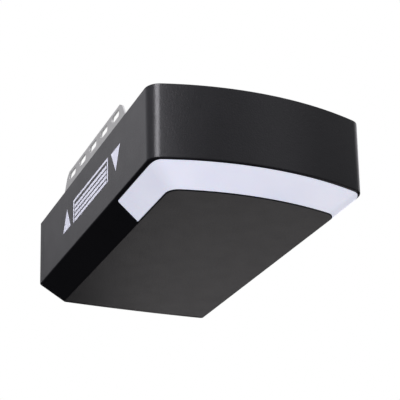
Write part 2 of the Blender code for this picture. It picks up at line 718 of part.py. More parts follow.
def make_worm_wheel(parent):
    """The teeth lean by the worm's lead angle."""
    face = 0.012
    lean = LEAD / (2 * math.pi * WORM_PITCH_RADIUS)
    twist = face * lean / WHEEL_RADIUS
    outline = wheel_outline(WHEEL_RADIUS + 0.0016, WHEEL_RADIUS - 0.0027, 0.0006)
    shape = bmesh.new()
    rows = []
    for share in (-0.5, 0.5):
        turn = Matrix.Rotation(-twist * share, 3, "Z")
        row = []
        for x, y in outline:
            point = turn @ Vector((x, y, 0))
            row.append(shape.verts.new((point.x, point.y + DRIVE_Y, WORM_Z + face * share)))
        rows.append(row)
    shape.faces.new(rows[0][::-1])
    shape.faces.new(rows[1])
    for i in range(len(outline)):
        j = (i + 1) % len(outline)
        shape.faces.new((rows[0][i], rows[0][j], rows[1][j], rows[1][i]))
    wheel = add_object("worm_wheel", shape, NYLON, parent, (0, DRIVE_Y, WORM_Z))
    hub = rod(bmesh.new(), 0.011, (0, DRIVE_Y, WORM_Z - 0.008), 0.016, sides=24)
    join(wheel, hub)
    holes = rod(bmesh.new(), SHAFT_RADIUS + GAP, (0, DRIVE_Y, WORM_Z - 0.010), 0.020, sides=24)
    for spoke in range(6):
        angle = 2 * math.pi * spoke / 6
        x, y = 0.020 * math.cos(angle), DRIVE_Y + 0.020 * math.sin(angle)
        rod(holes, 0.0050, (x, y, WORM_Z - 0.010), 0.020, sides=12)
    return cut(wheel, holes)


def make_drive(parent):
    make_worm_wheel(parent)
    shaft_bottom = COVER_BOTTOM + 0.0025
    shaft_top = 0.1285
    shape = rod(bmesh.new(), SHAFT_RADIUS, (0, DRIVE_Y, shaft_bottom), shaft_top - shaft_bottom, sides=20)
    shaft = add_object("output_shaft", shape, BRIGHT_STEEL, parent, (0, DRIVE_Y, WORM_Z))
    soften(shaft, 0.0006, 1)
    teeth = 9
    outline = []
    for tooth in range(teeth):
        middle = 2 * math.pi * tooth / teeth
        for radius, offset in ((0.0125, -0.22), (0.0170, -0.08), (0.0170, 0.08), (0.0125, 0.22)):
            angle = middle + offset
            outline.append((radius * math.cos(angle), radius * math.sin(angle)))
    shape = prism(bmesh.new(), outline, (0, DRIVE_Y, 0.1185), 0.005)
    sprocket = add_object("drive_sprocket", shape, DARK_STEEL, parent, (0, DRIVE_Y, WORM_Z))
    join(sprocket, rod(bmesh.new(), 0.0095, (0, DRIVE_Y, 0.1145), 0.012, sides=20))
    cut(sprocket, rod(bmesh.new(), SHAFT_RADIUS + GAP, (0, DRIVE_Y, 0.112), 0.018, sides=20))


# ---------------------------------------------------------------- motor


def thread(shape, start_y, end_y, sides=12):
    """One helical ridge round the worm's axis. It faces the wheel where it passes the wheel's middle."""
    core, tip = 0.0060, 0.0110
    half_at_pitch = 0.00135
    slant = math.tan(math.radians(20))
    steps = round((end_y - start_y) / LEAD * sides)
    fade = sides * 0.6
    rows = []
    for step in range(steps + 1):
        y = start_y + (end_y - start_y) * step / steps
        angle = math.pi + 2 * math.pi * (y - DRIVE_Y) / LEAD
        height = min(1.0, step / fade, (steps - step) / fade)
        outer = core + 0.0004 + (tip - core - 0.0004) * height
        row = []
        for radius, side in ((core, -1), (outer, -1), (outer, 1), (core, 1)):
            half = half_at_pitch - (radius - WORM_PITCH_RADIUS) * slant
            x = WORM_X + radius * math.cos(angle)
            z = WORM_Z + radius * math.sin(angle)
            row.append(shape.verts.new((x, y + side * half, z)))
        rows.append(row)
    for first, second in zip(rows, rows[1:]):
        for i in range(4):
            j = (i + 1) % 4
            shape.faces.new((first[i], first[j], second[j], second[i]))
    shape.faces.new(rows[0][::-1])
    shape.faces.new(rows[-1])
    bmesh.ops.recalc_face_normals(shape, faces=shape.faces)
    return shape


def make_motor(rotor):
    axis = (WORM_X, MOTOR_FRONT, WORM_Z)
    wall, length = 0.002, MOTOR_REAR - MOTOR_FRONT
    can = [
        (MOTOR_RADIUS - wall, length),
        (MOTOR_RADIUS, length),
        (MOTOR_RADIUS, 0.003),
        (MOTOR_RADIUS - 0.003, 0.0),
        (0.0046, 0.0),
        (0.0046, wall),
        (MOTOR_RADIUS - wall, wall + 0.001),
        (MOTOR_RADIUS - wall, length),
    ]
    turned("motor_can", can, ZINC, axis, "Y", 32)
    cap = [
        (0.0046, END_CAP_LENGTH),
        (0.0220, END_CAP_LENGTH),
        (0.0300, 0.006),
        (MOTOR_RADIUS, 0.006),
        (MOTOR_RADIUS, 0.0),
        (0.0240, 0.0),
        (0.0200, 0.008),
        (0.0046, 0.008),
        (0.0046, END_CAP_LENGTH),
    ]
    turned("motor_end_cap", cap, SLEEVE_BLACK, (WORM_X, MOTOR_REAR + GAP, WORM_Z), "Y", 32)
    for name, middle in (("motor_magnet_left", math.pi), ("motor_magnet_right", 0.0)):
        outline = []
        for radius, order in ((0.0297, 1), (0.0248, -1)):
            for step in range(9):
                angle = middle + order * math.radians(60) * (step - 4) / 4
                outline.append((radius * math.cos(angle), radius * math.sin(angle)))
        shape = prism(bmesh.new(), outline, (WORM_X, MOTOR_FRONT + 0.012, WORM_Z), 0.060, "Y")
        add_object(name, shape, FERRITE)
    slots = 10
    neck, shoulder, face = 0.0130, 0.0205, 0.0238
    flank = ((neck, 0.20), (shoulder, 0.20), (face, 0.24))
    tooth_outline = [(radius, -offset) for radius, offset in flank] + list(reversed(flank))
    outline = []
    for tooth in range(slots):
        middle = 2 * math.pi * tooth / slots
        for radius, offset in tooth_outline:
            angle = middle + offset
            outline.append((radius * math.cos(angle), radius * math.sin(angle)))
    shape = prism(bmesh.new(), outline, (WORM_X, MOTOR_FRONT + 0.016, WORM_Z), 0.052, "Y")
    armature = add_object("armature", shape, COPPER, rotor, (WORM_X, DRIVE_Y, WORM_Z))
    cut(armature, rod(bmesh.new(), 0.0043, (WORM_X, MOTOR_FRONT, WORM_Z), 0.090, "Y", 16))
    commutator_start = (WORM_X, MOTOR_FRONT + 0.074, WORM_Z)
    turned("commutator", ring_profile(0.0043, 0.011, 0.014), COPPER, commutator_start, "Y", 24, rotor)
    encoder_start = (WORM_X, MOTOR_REAR + END_CAP_LENGTH + 0.003, WORM_Z)
    turned("encoder_disc", ring_profile(0.0033, 0.014, 0.002), SLEEVE_BLACK, encoder_start, "Y", 24, rotor)


def make_worm_shaft(rotor):
    front = BOX_FRONT + GEAR_WALL + 0.001
    worm_start, worm_end = DRIVE_Y - 0.027, DRIVE_Y + 0.027
    rear = MOTOR_REAR + END_CAP_LENGTH + 0.007
    shape = rod(bmesh.new(), 0.004, (WORM_X, front, WORM_Z), rear - 0.006 - front, "Y", 16)
    shaft = add_object("worm_shaft", shape, BRIGHT_STEEL, rotor, (WORM_X, DRIVE_Y, WORM_Z))
    join(shaft, rod(bmesh.new(), 0.003, (WORM_X, rear - 0.010, WORM_Z), 0.010, "Y", 16))
    join(shaft, rod(bmesh.new(), 0.0068, (WORM_X, worm_start - 0.002, WORM_Z), 0.058, "Y", 20))
    return join(shaft, thread(bmesh.new(), worm_start, worm_end))


# ---------------------------------------------------------------- electrics


def make_transformer():
    major, minor = 0.033, 0.015
    centre_z = PLATE_BOTTOM - GAP - minor - 0.001
    bpy.ops.mesh.primitive_torus_add(
        major_radius=major,
        minor_radius=minor,
        major_segments=28,
        minor_segments=12,
        location=(*TOROID, centre_z),
    )
    toroid = bpy.context.object
    toroid.name = "transformer_core"
    toroid.data.name = "transformer_core"
    toroid.data.materials.append(material(YELLOW_TAPE))
    for owner in list(toroid.users_collection):
        owner.objects.unlink(toroid)
    PARTS.objects.link(toroid)
    under = centre_z - minor - GAP
    dish = [
        (0.0036, 0.004),
        (0.0160, 0.004),
        (0.0240, 0.0),
        (0.0360, 0.0),
        (0.0360, -0.0015),
        (0.0235, -0.0015),
        (0.0155, 0.0025),
        (0.0036, 0.0025),
        (0.0036, 0.004),
    ]
    turned("transformer_dish", dish, ZINC, (*TOROID, under), "Z", 28)
    bolt("transformer_bolt", (*TOROID, PLATE_TOP), PLATE_TOP - under + 0.001)


def make_control_board():
    low, high = (-0.062, 0.122), (0.078, 0.190)
    shape = block(bmesh.new(), (*low, BOARD_Z), (*high, BOARD_Z + BOARD))
    add_object("control_board", shape, BOARD_GREEN)
    under = BOARD_Z - GAP
    for number, x in enumerate((-0.040, -0.022), 1):
        shape = block(bmesh.new(), (x, 0.130, under - 0.016), (x + 0.013, 0.159, under))
        soften(add_object(f"relay_{number}", shape, RELAY_BLUE), 0.0008, 1)
    height = 0.030
    can = [(0.0, 0.0), (0.0110, 0.0), (0.0110, -height + 0.001), (0.0100, -height), (0.0, -height)]
    turned("capacitor", can, SLEEVE_BLACK, (0.020, 0.142, under), "Z", 20)
    ways, pitch = 8, 0.005
    start_x = -0.020
    shape = block(bmesh.new(), (start_x, 0.178, under - 0.012), (start_x + ways * pitch, 0.1885, under))
    terminal = add_object("terminal_block", shape, TERMINAL_GREEN)
    ports = bmesh.new()
    for way in range(ways):
        x = start_x + pitch * (way + 0.5)
        block(ports, (x - 0.0016, 0.184, under - 0.0095), (x + 0.0016, 0.190, under - 0.0055))
        rod(ports, 0.0016, (x, 0.1815, under - 0.013), 0.005, sides=8)
    cut(terminal, ports)


def make_buttons():
    board_top = BUTTON_BOARD_Y + BOARD
    switch_top = board_top + 0.0045
    shape = block(bmesh.new(), (0.024, BUTTON_BOARD_Y, 0.050), (0.092, board_top, 0.070))
    board = add_object("button_board", shape, BOARD_GREEN)
    switches = bmesh.new()
    half = 0.003
    for x in BUTTONS.values():
        low = (x - half, board_top - OVERLAP, BUTTON_Z - half)
        block(switches, low, (x + half, switch_top, BUTTON_Z + half))
    join(board, switches)
    travel = 0.0015
    for word, x in BUTTONS.items():
        face = rear_face_y(x, BUTTON_Z)
        stem_top = face + 0.0022
        collar_top = face - SHELL - 0.0009
        tip = switch_top + travel + GAP
        profile = [
            (0.0, stem_top),
            (BUTTON_RADIUS - 0.0006, stem_top),
            (BUTTON_RADIUS, stem_top - 0.0006),
            (BUTTON_RADIUS, collar_top),
            (BUTTON_RADIUS + 0.0014, collar_top),
            (BUTTON_RADIUS + 0.0014, collar_top - 0.0008),
            (0.0016, collar_top - 0.0008),
            (0.0016, tip),
            (0.0, tip),
        ]
        profile = [(radius, y - face) for radius, y in profile]
        axis = empty(f"button_{word}_axis", (x, face, BUTTON_Z))
        finish = BUTTON_RED if word == "learn" else BUTTON_GREY
        turned(f"button_{word}", profile, finish, (x, face, BUTTON_Z), "Y", 20, axis)


def make_power_inlet():
    """Appliance inlet: a rectangular socket open to the rear, with three flat pins."""
    across, high = (size / 2 for size in INLET_SIZE)
    rear = rear_face_y(INLET_X, INLET_Z) + 0.0015
    front = rear - 0.026
    wall = 0.0022
    low_corner = (INLET_X - across, front, INLET_Z - high)
    shape = block(bmesh.new(), low_corner, (INLET_X + across, rear, INLET_Z + high))
    inlet = soften(add_object("power_inlet", shape, SLEEVE_BLACK), 0.0015, 2)
    floor = rear - 0.018
    hollow = block(
        bmesh.new(),
        (INLET_X - across + wall, floor, INLET_Z - high + wall),
        (INLET_X + across - wall, rear + 0.001, INLET_Z + high - wall),
    )
    cut(inlet, hollow)
    for word, x, z in (("live", -0.007, -0.004), ("earth", 0.0, 0.0), ("neutral", 0.007, -0.004)):
        low = (INLET_X + x - 0.001, floor + GAP, INLET_Z + z - 0.002)
        high_corner = (INLET_X + x + 0.001, rear - 0.003, INLET_Z + z + 0.002)
        soften(add_object(f"inlet_pin_{word}", block(bmesh.new(), low, high_corner), BRASS), 0.0004, 1)


def empty(name, location):
    made = bpy.data.objects.new(name, None)
    made.location = location
    PARTS.objects.link(made)
    return made


def shade():
    """Round faces smooth, corners crisp."""
    for obj in PARTS.objects:
        if obj.type == "MESH":
            obj.data.shade_smooth()
            obj.data.set_sharp_from_angle(angle=math.radians(32))


clear_scene()
PARTS = collection("garage_door_opener")
CUTTERS = collection("cutters")
make_cover_shell()
make_light()
make_rear_cap()
make_chassis_plate()
make_hanger_bracket(-1)
make_hanger_bracket(1)
make_rail_saddle()
make_fasteners()
make_gearbox()
drive_axis = empty("drive_axis", (0, DRIVE_Y, WORM_Z))
make_drive(drive_axis)
rotor_axis = empty("rotor_axis", (WORM_X, DRIVE_Y, WORM_Z))
make_worm_shaft(rotor_axis)
make_motor(rotor_axis)
make_transformer()
make_control_board()
make_buttons()
make_power_inlet()
shade()
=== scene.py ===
"""Looks of the garage door opener head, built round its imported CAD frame.

Metres, +Z up, +Y towards the rear.
"""

import json
import math
from collections import namedtuple

import bmesh
import bpy
from mathutils import Matrix, Vector


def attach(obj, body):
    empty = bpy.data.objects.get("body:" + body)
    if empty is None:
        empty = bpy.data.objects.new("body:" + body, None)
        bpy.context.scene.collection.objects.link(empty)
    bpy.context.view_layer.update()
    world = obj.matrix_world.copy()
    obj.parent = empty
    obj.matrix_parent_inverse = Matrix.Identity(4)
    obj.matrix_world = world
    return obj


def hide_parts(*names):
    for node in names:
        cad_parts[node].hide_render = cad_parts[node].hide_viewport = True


for startup in ("Cube", "Light", "Camera"):
    if startup in bpy.data.objects:
        bpy.data.objects.remove(bpy.data.objects[startup])
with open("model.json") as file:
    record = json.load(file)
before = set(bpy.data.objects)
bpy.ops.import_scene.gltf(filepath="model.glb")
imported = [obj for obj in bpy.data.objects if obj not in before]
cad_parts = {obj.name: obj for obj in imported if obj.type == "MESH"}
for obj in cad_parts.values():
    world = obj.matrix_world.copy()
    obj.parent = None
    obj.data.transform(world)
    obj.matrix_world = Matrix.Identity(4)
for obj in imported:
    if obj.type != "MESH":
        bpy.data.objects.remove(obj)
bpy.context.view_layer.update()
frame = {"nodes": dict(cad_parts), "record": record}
NODES = frame["nodes"]

# ---- dimensions shared with the CAD

WIDTH = 0.252
WALL_LENGTH = 0.402
WALL_HEIGHT = 0.0863
SLOPE = 0.0252
SIDE_INSET = 0.0285
SLOPE_LENGTH = math.hypot(SLOPE, SIDE_INSET)
DRAFT = 0.0018
REAR_LEAN = 0.0012
FRONT_BOW = 0.0229
PANEL_FRONT_BOW = 0.0142
REAR_BOW = 0.0025
FRONT_SETBACK = 0.0166
REAR_SETBACK = 0.0156
CORNER_RADIUS = 0.0157
TOP_CORNER_RADIUS = 0.0177
REAR_RADIUS = 0.003
SHELL = 0.0025
LENS_LENGTH = 0.1085
LENS_TOP = 0.121
LENS_TOP_FRONT = 0.0515
LENS_BOTTOM = 0.970  # 0.966 in the CAD
SEAM_GAP = 0.0006
TOP_SEAM = 0.0125
WALL_SEAM = 0.0195
PANEL_SEAM = 0.0035
COVER_TOP = SLOPE + WALL_HEIGHT
PLATE_TOP = COVER_TOP + 0.0005
STEEL = 0.002
FOOT_BOTTOM = PLATE_TOP + 0.0003
FOOT_TOP = FOOT_BOTTOM + STEEL
FRONT_Y = -(WALL_LENGTH + REAR_BOW + REAR_LEAN - FRONT_BOW - DRAFT) / 2
REAR_Y = FRONT_Y + WALL_LENGTH
LENS_END_Y = FRONT_Y + LENS_LENGTH
BRACKET_X = 0.1206
BRACKET_TOP = 0.1439
BRACKET_MID_Y = 0.0143
BRACKET_LENGTH = 0.2005
BRACKET_SPLAY = 0.62
SLOT_PITCH = 0.0405
SLOT_LENGTH = 0.0235
SLOT_HEIGHT = 0.0088
SLOT_CORNER = 0.003
SLOT_DROP = 0.0088
FOOT_WIDTH = 0.028
DRIVE_Y = -0.050

# ---- materials


class Finish:
    """A principled material whose colour, roughness and relief come from nodes in metres."""

    def __init__(self, name, metallic=0.0, **sockets):
        self.material = bpy.data.materials.new(name)
        self.material.use_nodes = True
        self.tree = self.material.node_tree
        self.shader = self.tree.nodes["Principled BSDF"]
        self.shader.inputs["Metallic"].default_value = metallic
        for socket, value in sockets.items():
            self.shader.inputs[socket.replace("_", " ")].default_value = value
        self.where = self.node("TexCoord").outputs["Object"]

    def node(self, kind, inputs=None, **settings):
        made = self.tree.nodes.new(f"ShaderNode{kind}")
        for key, value in settings.items():
            setattr(made, key, value)
        for key, value in (inputs or {}).items():
            if isinstance(value, bpy.types.NodeSocket):
                self.tree.links.new(value, made.inputs[key])
            else:
                made.inputs[key].default_value = value
        return made

    def link(self, output, socket):
        self.tree.links.new(output, self.shader.inputs[socket])

    def noise(self, scale, detail=2.0, stretch=(1, 1, 1)):
        place = self.node("Mapping", {"Vector": self.where, "Scale": stretch}).outputs[0]
        inputs = {"Vector": place, "Scale": scale, "Detail": detail, "Roughness": 0.55}
        return self.node("TexNoise", inputs).outputs["Fac"]

    def spread(self, source, low, high, start=0.3, end=0.7):
        inputs = {0: source, 1: start, 2: end, 3: low, 4: high}
        return self.node("MapRange", inputs).outputs[0]

    def mix(self, share, first, second):
        made = self.node("Mix", data_type="RGBA")
        for index, value in ((0, share), (6, first), (7, second)):
            if isinstance(value, bpy.types.NodeSocket):
                self.tree.links.new(value, made.inputs[index])
            else:
                made.inputs[index].default_value = (*value, 1.0)
        return made.outputs[2]

    def math(self, operation, first, second):
        return self.node("Math", {0: first, 1: second}, operation=operation).outputs[0]

    # Mask for lighter edges: rubbing wear on most finishes, and on the new black plastic a painted
    # edge glint, partly wear.
    def wear_and_glint_edges(self, radius=0.0009):
        """1 on sharp outer edges, broken up by noise, and 0 on flat ground."""
        rounded = self.node("Bevel", {"Radius": radius}, samples=4).outputs["Normal"]
        facing = self.node("NewGeometry").outputs["Normal"]
        turn = self.node("VectorMath", {0: rounded, 1: facing}, operation="DOT_PRODUCT")
        edge = self.spread(turn.outputs["Value"], 1.0, 0.0, 0.90, 0.995)
        patches = self.spread(self.noise(260.0, 3.0), 0.0, 1.0, 0.35, 0.75)
        return self.math("MULTIPLY", edge, patches)

    def relief(self, height, depth, strength=1.0, below=None):
        inputs = {"Height": height, "Distance": depth, "Strength": strength}
        if below:
            inputs["Normal"] = below
        return self.node("Bump", inputs).outputs["Normal"]


def plain(name, dark, light, rough, blotch=30.0, grain=900.0, depth=0.00003, wear=None, **more):
    """Colour that drifts between two shades, uneven gloss, fine grain and lighter worn edges."""
    made = Finish(name, **more)
    colour = made.mix(made.spread(made.noise(blotch, 4.0), 0.0, 1.0), dark, light)
    if wear:
        colour = made.mix(made.wear_and_glint_edges(), colour, wear)
    made.link(colour, "Base Color")
    made.link(made.spread(made.noise(blotch * 2.3, 3.0), *rough), "Roughness")
    made.link(made.relief(made.noise(grain, 2.0), depth), "Normal")
    return made.material


def black_plastic():
    """Spark-eroded black plastic: a fine even grain that glints, and faint large unevenness."""
    made = Finish("black_plastic", Specular_IOR_Level=0.5)
    clouds = made.spread(made.noise(9.0, 3.0), 0.0, 1.0)
    drift = made.mix(clouds, (0.0095, 0.0094, 0.0112), (0.0130, 0.0128, 0.0148))
    grain = made.noise(1500.0, 3.0)
    # The lighter specks from the grain are painted glints, laid over the grain's own tone.
    speckle = made.mix(made.spread(grain, 0.0, 1.0, 0.58, 0.72), drift, (0.026, 0.026, 0.028))
    # The lighter sharp edges here are a painted glint, partly wear.
    made.link(made.mix(made.wear_and_glint_edges(0.0007), speckle, (0.05, 0.05, 0.053)), "Base Color")
    gloss = made.spread(made.noise(38.0, 4.0), 0.300, 0.340)
    uneven = made.spread(made.noise(650.0, 2.0), 0.9, 1.1)
    made.link(made.math("MULTIPLY", gloss, uneven), "Roughness")
    waves = made.relief(made.noise(14.0, 1.0), 0.00015, 0.05)
    pits = made.relief(made.noise(520.0, 6.0), 0.0003, 0.6, waves)
    made.link(made.relief(grain, 0.00005, 0.6, pits), "Normal")
    return made.material


def milky_lens():
    """Opal plastic with a faint painted glow that brightens it as falling light would."""
    inside = {"Subsurface_Weight": 0.25, "Subsurface_Scale": 0.004}
    # The emission is painted light: a faint glow standing in for light falling on the lens.
    made = Finish("milky_lens", IOR=1.49, Emission_Strength=0.80, **inside)
    glow = made.spread(made.noise(14.0, 2.0), 0.0, 1.0)
    colour = made.mix(glow, (0.70, 0.70, 0.82), (0.76, 0.76, 0.86))
    made.link(colour, "Base Color")
    made.link(made.mix(glow, (0.68, 0.70, 0.82), (0.74, 0.76, 0.86)), "Emission Color")
    made.link(made.spread(made.noise(60.0, 3.0), 0.28, 0.36), "Roughness")
    made.link(made.relief(made.noise(700.0, 2.0), 0.00002, 0.4), "Normal")
    return made.material


def galvanised():
    """Zinc-coated sheet: pale crystals, rolling marks along the strip and brighter worn edges."""
    made = Finish("zinc_plate", 1.0)
    crystals = made.node("TexVoronoi", {"Vector": made.where, "Scale": 95.0})
    shade = made.node("SeparateColor", {"Color": crystals.outputs["Color"]}).outputs[0]
    rolled = made.noise(420.0, 3.0, (1.0, 0.06, 1.0))
    marks = made.math("MULTIPLY", rolled, 0.45)
    share = made.math("ADD", made.math("MULTIPLY", shade, 0.55), marks)
    colour = made.mix(share, (0.70, 0.70, 0.69), (0.84, 0.84, 0.825))
    made.link(made.mix(made.wear_and_glint_edges(), colour, (0.78, 0.78, 0.78)), "Base Color")
    made.link(made.spread(share, 0.40, 0.58, 0.2, 0.8), "Roughness")
    made.link(made.relief(rolled, 0.00002, 0.5), "Normal")
    return made.material


def wound_finish(name, dark, light, rough, scale, direction, metallic=0.0):
    """Turns of wire or tape side by side."""
    made = Finish(name, metallic)
    inputs = {"Vector": made.where, "Scale": scale, "Distortion": 0.6}
    turns = made.node("TexWave", inputs, bands_direction=direction).outputs["Fac"]
    made.link(made.mix(made.spread(turns, 0.0, 1.0, 0.1, 0.6), dark, light), "Base Color")
    made.link(made.spread(made.noise(200.0, 3.0), *rough), "Roughness")
    made.link(made.relief(turns, 0.0003, 0.7), "Normal")
    return made.material


def circuit_board():
    """Green solder mask with raised copper tracks under it."""
    made = Finish("board_green")
    inputs = {"Vector": made.where, "Scale": 60.0, "Mortar Size": 0.035, "Mortar Smooth": 0.3}
    tracks = made.node("TexBrick", inputs).outputs["Fac"]
    drift = made.mix(made.noise(25.0, 2.0), (0.012, 0.11, 0.045), (0.02, 0.17, 0.07))
    made.link(made.mix(tracks, drift, (0.05, 0.28, 0.11)), "Base Color")
    made.link(made.spread(made.noise(120.0, 2.0), 0.28, 0.42), "Roughness")
    made.link(made.relief(tracks, 0.0001, 0.6), "Normal")
    return made.material


# name: dark shade, light shade, lowest and highest roughness, and the rest of plain()'s settings
METAL = {"metallic": 1.0}
PLAIN_FINISHES = {
    "white_plastic": (
        (0.72, 0.72, 0.71), (0.80, 0.80, 0.79), (0.35, 0.48), {"wear": (0.9, 0.9, 0.9)},
    ),
    "dark_steel": (
        (0.12, 0.12, 0.13), (0.20, 0.20, 0.21), (0.34, 0.52),
        METAL | {"blotch": 120.0, "wear": (0.5, 0.5, 0.5)},
    ),
    "bright_steel": (
        (0.55, 0.55, 0.56), (0.66, 0.66, 0.67), (0.20, 0.38),
        METAL | {"blotch": 180.0, "wear": (0.85, 0.85, 0.85)},
    ),
    "cast_alloy": (
        (0.36, 0.37, 0.38), (0.47, 0.48, 0.49), (0.45, 0.62),
        METAL | {"blotch": 60.0, "grain": 500.0, "depth": 0.0002},
    ),
    "nylon": (
        (0.70, 0.68, 0.61), (0.80, 0.78, 0.72), (0.40, 0.52), {"Subsurface_Weight": 0.1},
    ),
    "ferrite": (
        (0.035, 0.035, 0.036), (0.06, 0.06, 0.06), (0.6, 0.8),
        {"blotch": 80.0, "grain": 700.0, "depth": 0.0001},
    ),
    "relay_blue": (
        (0.025, 0.10, 0.34), (0.035, 0.14, 0.44), (0.32, 0.45), {"wear": (0.2, 0.35, 0.6)},
    ),
    "terminal_green": ((0.03, 0.30, 0.11), (0.05, 0.42, 0.16), (0.38, 0.5), {}),
    "sleeve_black": (
        (0.018, 0.018, 0.02), (0.028, 0.028, 0.031), (0.30, 0.46), {"wear": (0.09, 0.09, 0.09)},
    ),
    "button_grey": (
        (0.30, 0.30, 0.31), (0.37, 0.37, 0.38), (0.42, 0.55), {"wear": (0.5, 0.5, 0.5)},
    ),
    "button_red": (
        (0.42, 0.025, 0.02), (0.56, 0.045, 0.035), (0.38, 0.5), {"wear": (0.7, 0.15, 0.12)},
    ),
    "contact_brass": (
        (0.60, 0.42, 0.14), (0.74, 0.56, 0.24), (0.24, 0.42),
        METAL | {"blotch": 200.0, "wear": (0.9, 0.75, 0.45)},
    ),
}
FINISHES = {name: plain(name, *shades, **more) for name, (*shades, more) in PLAIN_FINISHES.items()}
FINISHES["black_plastic"] = black_plastic()
FINISHES["milky_lens"] = milky_lens()
FINISHES["zinc_plate"] = galvanised()
FINISHES["board_green"] = circuit_board()
FINISHES["copper"] = wound_finish(
    "copper", (0.30, 0.10, 0.04), (0.78, 0.36, 0.19), (0.22, 0.42), 260.0, "Y", 1.0
)
FINISHES["yellow_tape"] = wound_finish(
    "yellow_tape", (0.50, 0.33, 0.03), (0.74, 0.54, 0.07), (0.34, 0.5), 55.0, "DIAGONAL"
)
PRINT = plain("mark_print", (0.60, 0.61, 0.70), (0.68, 0.69, 0.77), (0.42, 0.55), blotch=40.0)
WHITE = (1.0, 1.0, 1.0, 1.0)
FLOOR_PAINT = plain(
    "floor_paint", (0.86, 0.86, 0.86), (0.90, 0.90, 0.90), (0.7, 0.85), blotch=1.5, grain=60.0,
    Emission_Color=WHITE, Emission_Strength=0.55,
)

# ---- making pieces


def mesh_object(name, shape):
    """Puts a finished bmesh in the scene."""
    mesh = bpy.data.meshes.new(name)
    shape.to_mesh(mesh)
    shape.free()
    obj = bpy.data.objects.new(name, mesh)
    bpy.context.scene.collection.objects.link(obj)
    return obj


def add_piece(
    name, shape, slot, body="housing", stands_for=(), crisp=35.0, rounding=0.0, steps=2, finish=None
):
    """A finished piece from a bmesh whose points are in the row frame."""
    bmesh.ops.remove_doubles(shape, verts=shape.verts, dist=0.000001)
    obj = mesh_object(name, shape)
    mesh = obj.data
    mesh.materials.append(finish or FINISHES[slot])
    mesh.shade_smooth()
    mesh.set_sharp_from_angle(angle=math.radians(crisp))
    if rounding:
        bevel = obj.modifiers.new("Rounding", "BEVEL")
        bevel.width = rounding
        bevel.segments = steps
        bevel.limit_method = "ANGLE"
        bevel.angle_limit = math.radians(crisp)
        bevel.use_clamp_overlap = True
        bevel.harden_normals = False
    shade_evenly(obj, not rounding)
    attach(obj, body)
    if stands_for:
        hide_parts(*stands_for)
    return obj


def shade_evenly(obj, keep_sharp):
    even = obj.modifiers.new("Even shading", "WEIGHTED_NORMAL")
    even.keep_sharp = keep_sharp


def settle(obj, cutters=()):
    """Turns the modifiers into plain mesh and clears the cutters away."""
    seen = bpy.context.evaluated_depsgraph_get()
    final = bpy.data.meshes.new_from_object(obj.evaluated_get(seen))
    obj.modifiers.clear()
    obj.data = final
    for cutter in cutters:
        bpy.data.objects.remove(cutter)


def carve(obj, shapes):
    """Cuts closed shapes out of the piece, ahead of its other modifiers."""
    cutters = []
    for number, shape in enumerate(shapes):
        bmesh.ops.recalc_face_normals(shape, faces=shape.faces)
        cutter = mesh_object("cutter", shape)
        boolean = obj.modifiers.new(f"Cut {number}", "BOOLEAN")
        boolean.operation = "DIFFERENCE"
        boolean.object = cutter
        obj.modifiers.move(len(obj.modifiers) - 1, number)
        cutters.append(cutter)
    settle(obj, cutters)


def skin(shape, rings, closed=False, caps=True):
    """Faces between loops of equal length. The end loops are capped, or joined to each other."""
    rows = [[shape.verts.new(point) for point in ring] for ring in rings]
    faces = []
    pairs = list(zip(rows, rows[1:])) + ([(rows[-1], rows[0])] if closed else [])
    for first, second in pairs:
        for i in range(len(first)):
            j = (i + 1) % len(first)
            faces.append(shape.faces.new((first[i], first[j], second[j], second[i])))
    if caps and not closed:
        faces += [shape.faces.new(rows[0][::-1]), shape.faces.new(rows[-1])]
    bmesh.ops.recalc_face_normals(shape, faces=faces)
    return shape


def placed(location, axis="Z"):
    """Puts local +Z along the named world axis at a point. A minus sign turns it round."""
    turns = {
        "Z": Matrix.Identity(4),
        "-Z": Matrix.Rotation(math.pi, 4, "X"),
        "X": Matrix.Rotation(math.pi / 2, 4, "Y"),
        "-X": Matrix.Rotation(-math.pi / 2, 4, "Y"),
        "Y": Matrix.Rotation(-math.pi / 2, 4, "X"),
    }
    return Matrix.Translation(Vector(location)) @ turns[axis]


def round_ring(radius, height, where, sides=40):
    """A circle, or any radius given as a function of the angle."""
    points = []
    for i in range(sides):
        angle = 2 * math.pi * i / sides
        reach = radius(angle) if callable(radius) else radius
        points.append(where @ Vector((reach * math.cos(angle), reach * math.sin(angle), height)))
    return points


def lathe(shape, profile, where, sides=40, closed=False):
    """A turned shape from (radius, height) steps."""
    rings = [round_ring(radius, height, where, sides) for radius, height in profile]
    return skin(shape, rings, closed)


def block(shape, low, high):
    low, high = Vector(low), Vector(high)
    matrix = Matrix.Translation((low + high) / 2) @ Matrix.Diagonal((*(high - low), 1))
    bmesh.ops.create_cube(shape, size=1.0, matrix=matrix)


def rounded_box(half_across, half_high, radius, steps=6):
    """Outline of a box with rounded corners, round the origin."""
    points = []
    for quarter, (x, z) in enumerate(((1, 1), (-1, 1), (-1, -1), (1, -1))):
        middle_x, middle_z = x * (half_across - radius), z * (half_high - radius)
        for step in range(steps + 1):
            turn = math.pi / 2 * (quarter + step / steps)
            points.append((middle_x + radius * math.cos(turn), middle_z + radius * math.sin(turn)))
    return points


def circle(x, y, radius, sides=28):
    turns = [2 * math.pi * i / sides for i in range(sides)]
    return [(x + radius * math.cos(turn), y + radius * math.sin(turn)) for turn in turns]


# ---- the housing's form

Level = namedtuple(
    "Level", "height half_width front_y front_bow front_radius rear_y rear_bow rear_radius seam_y"
)

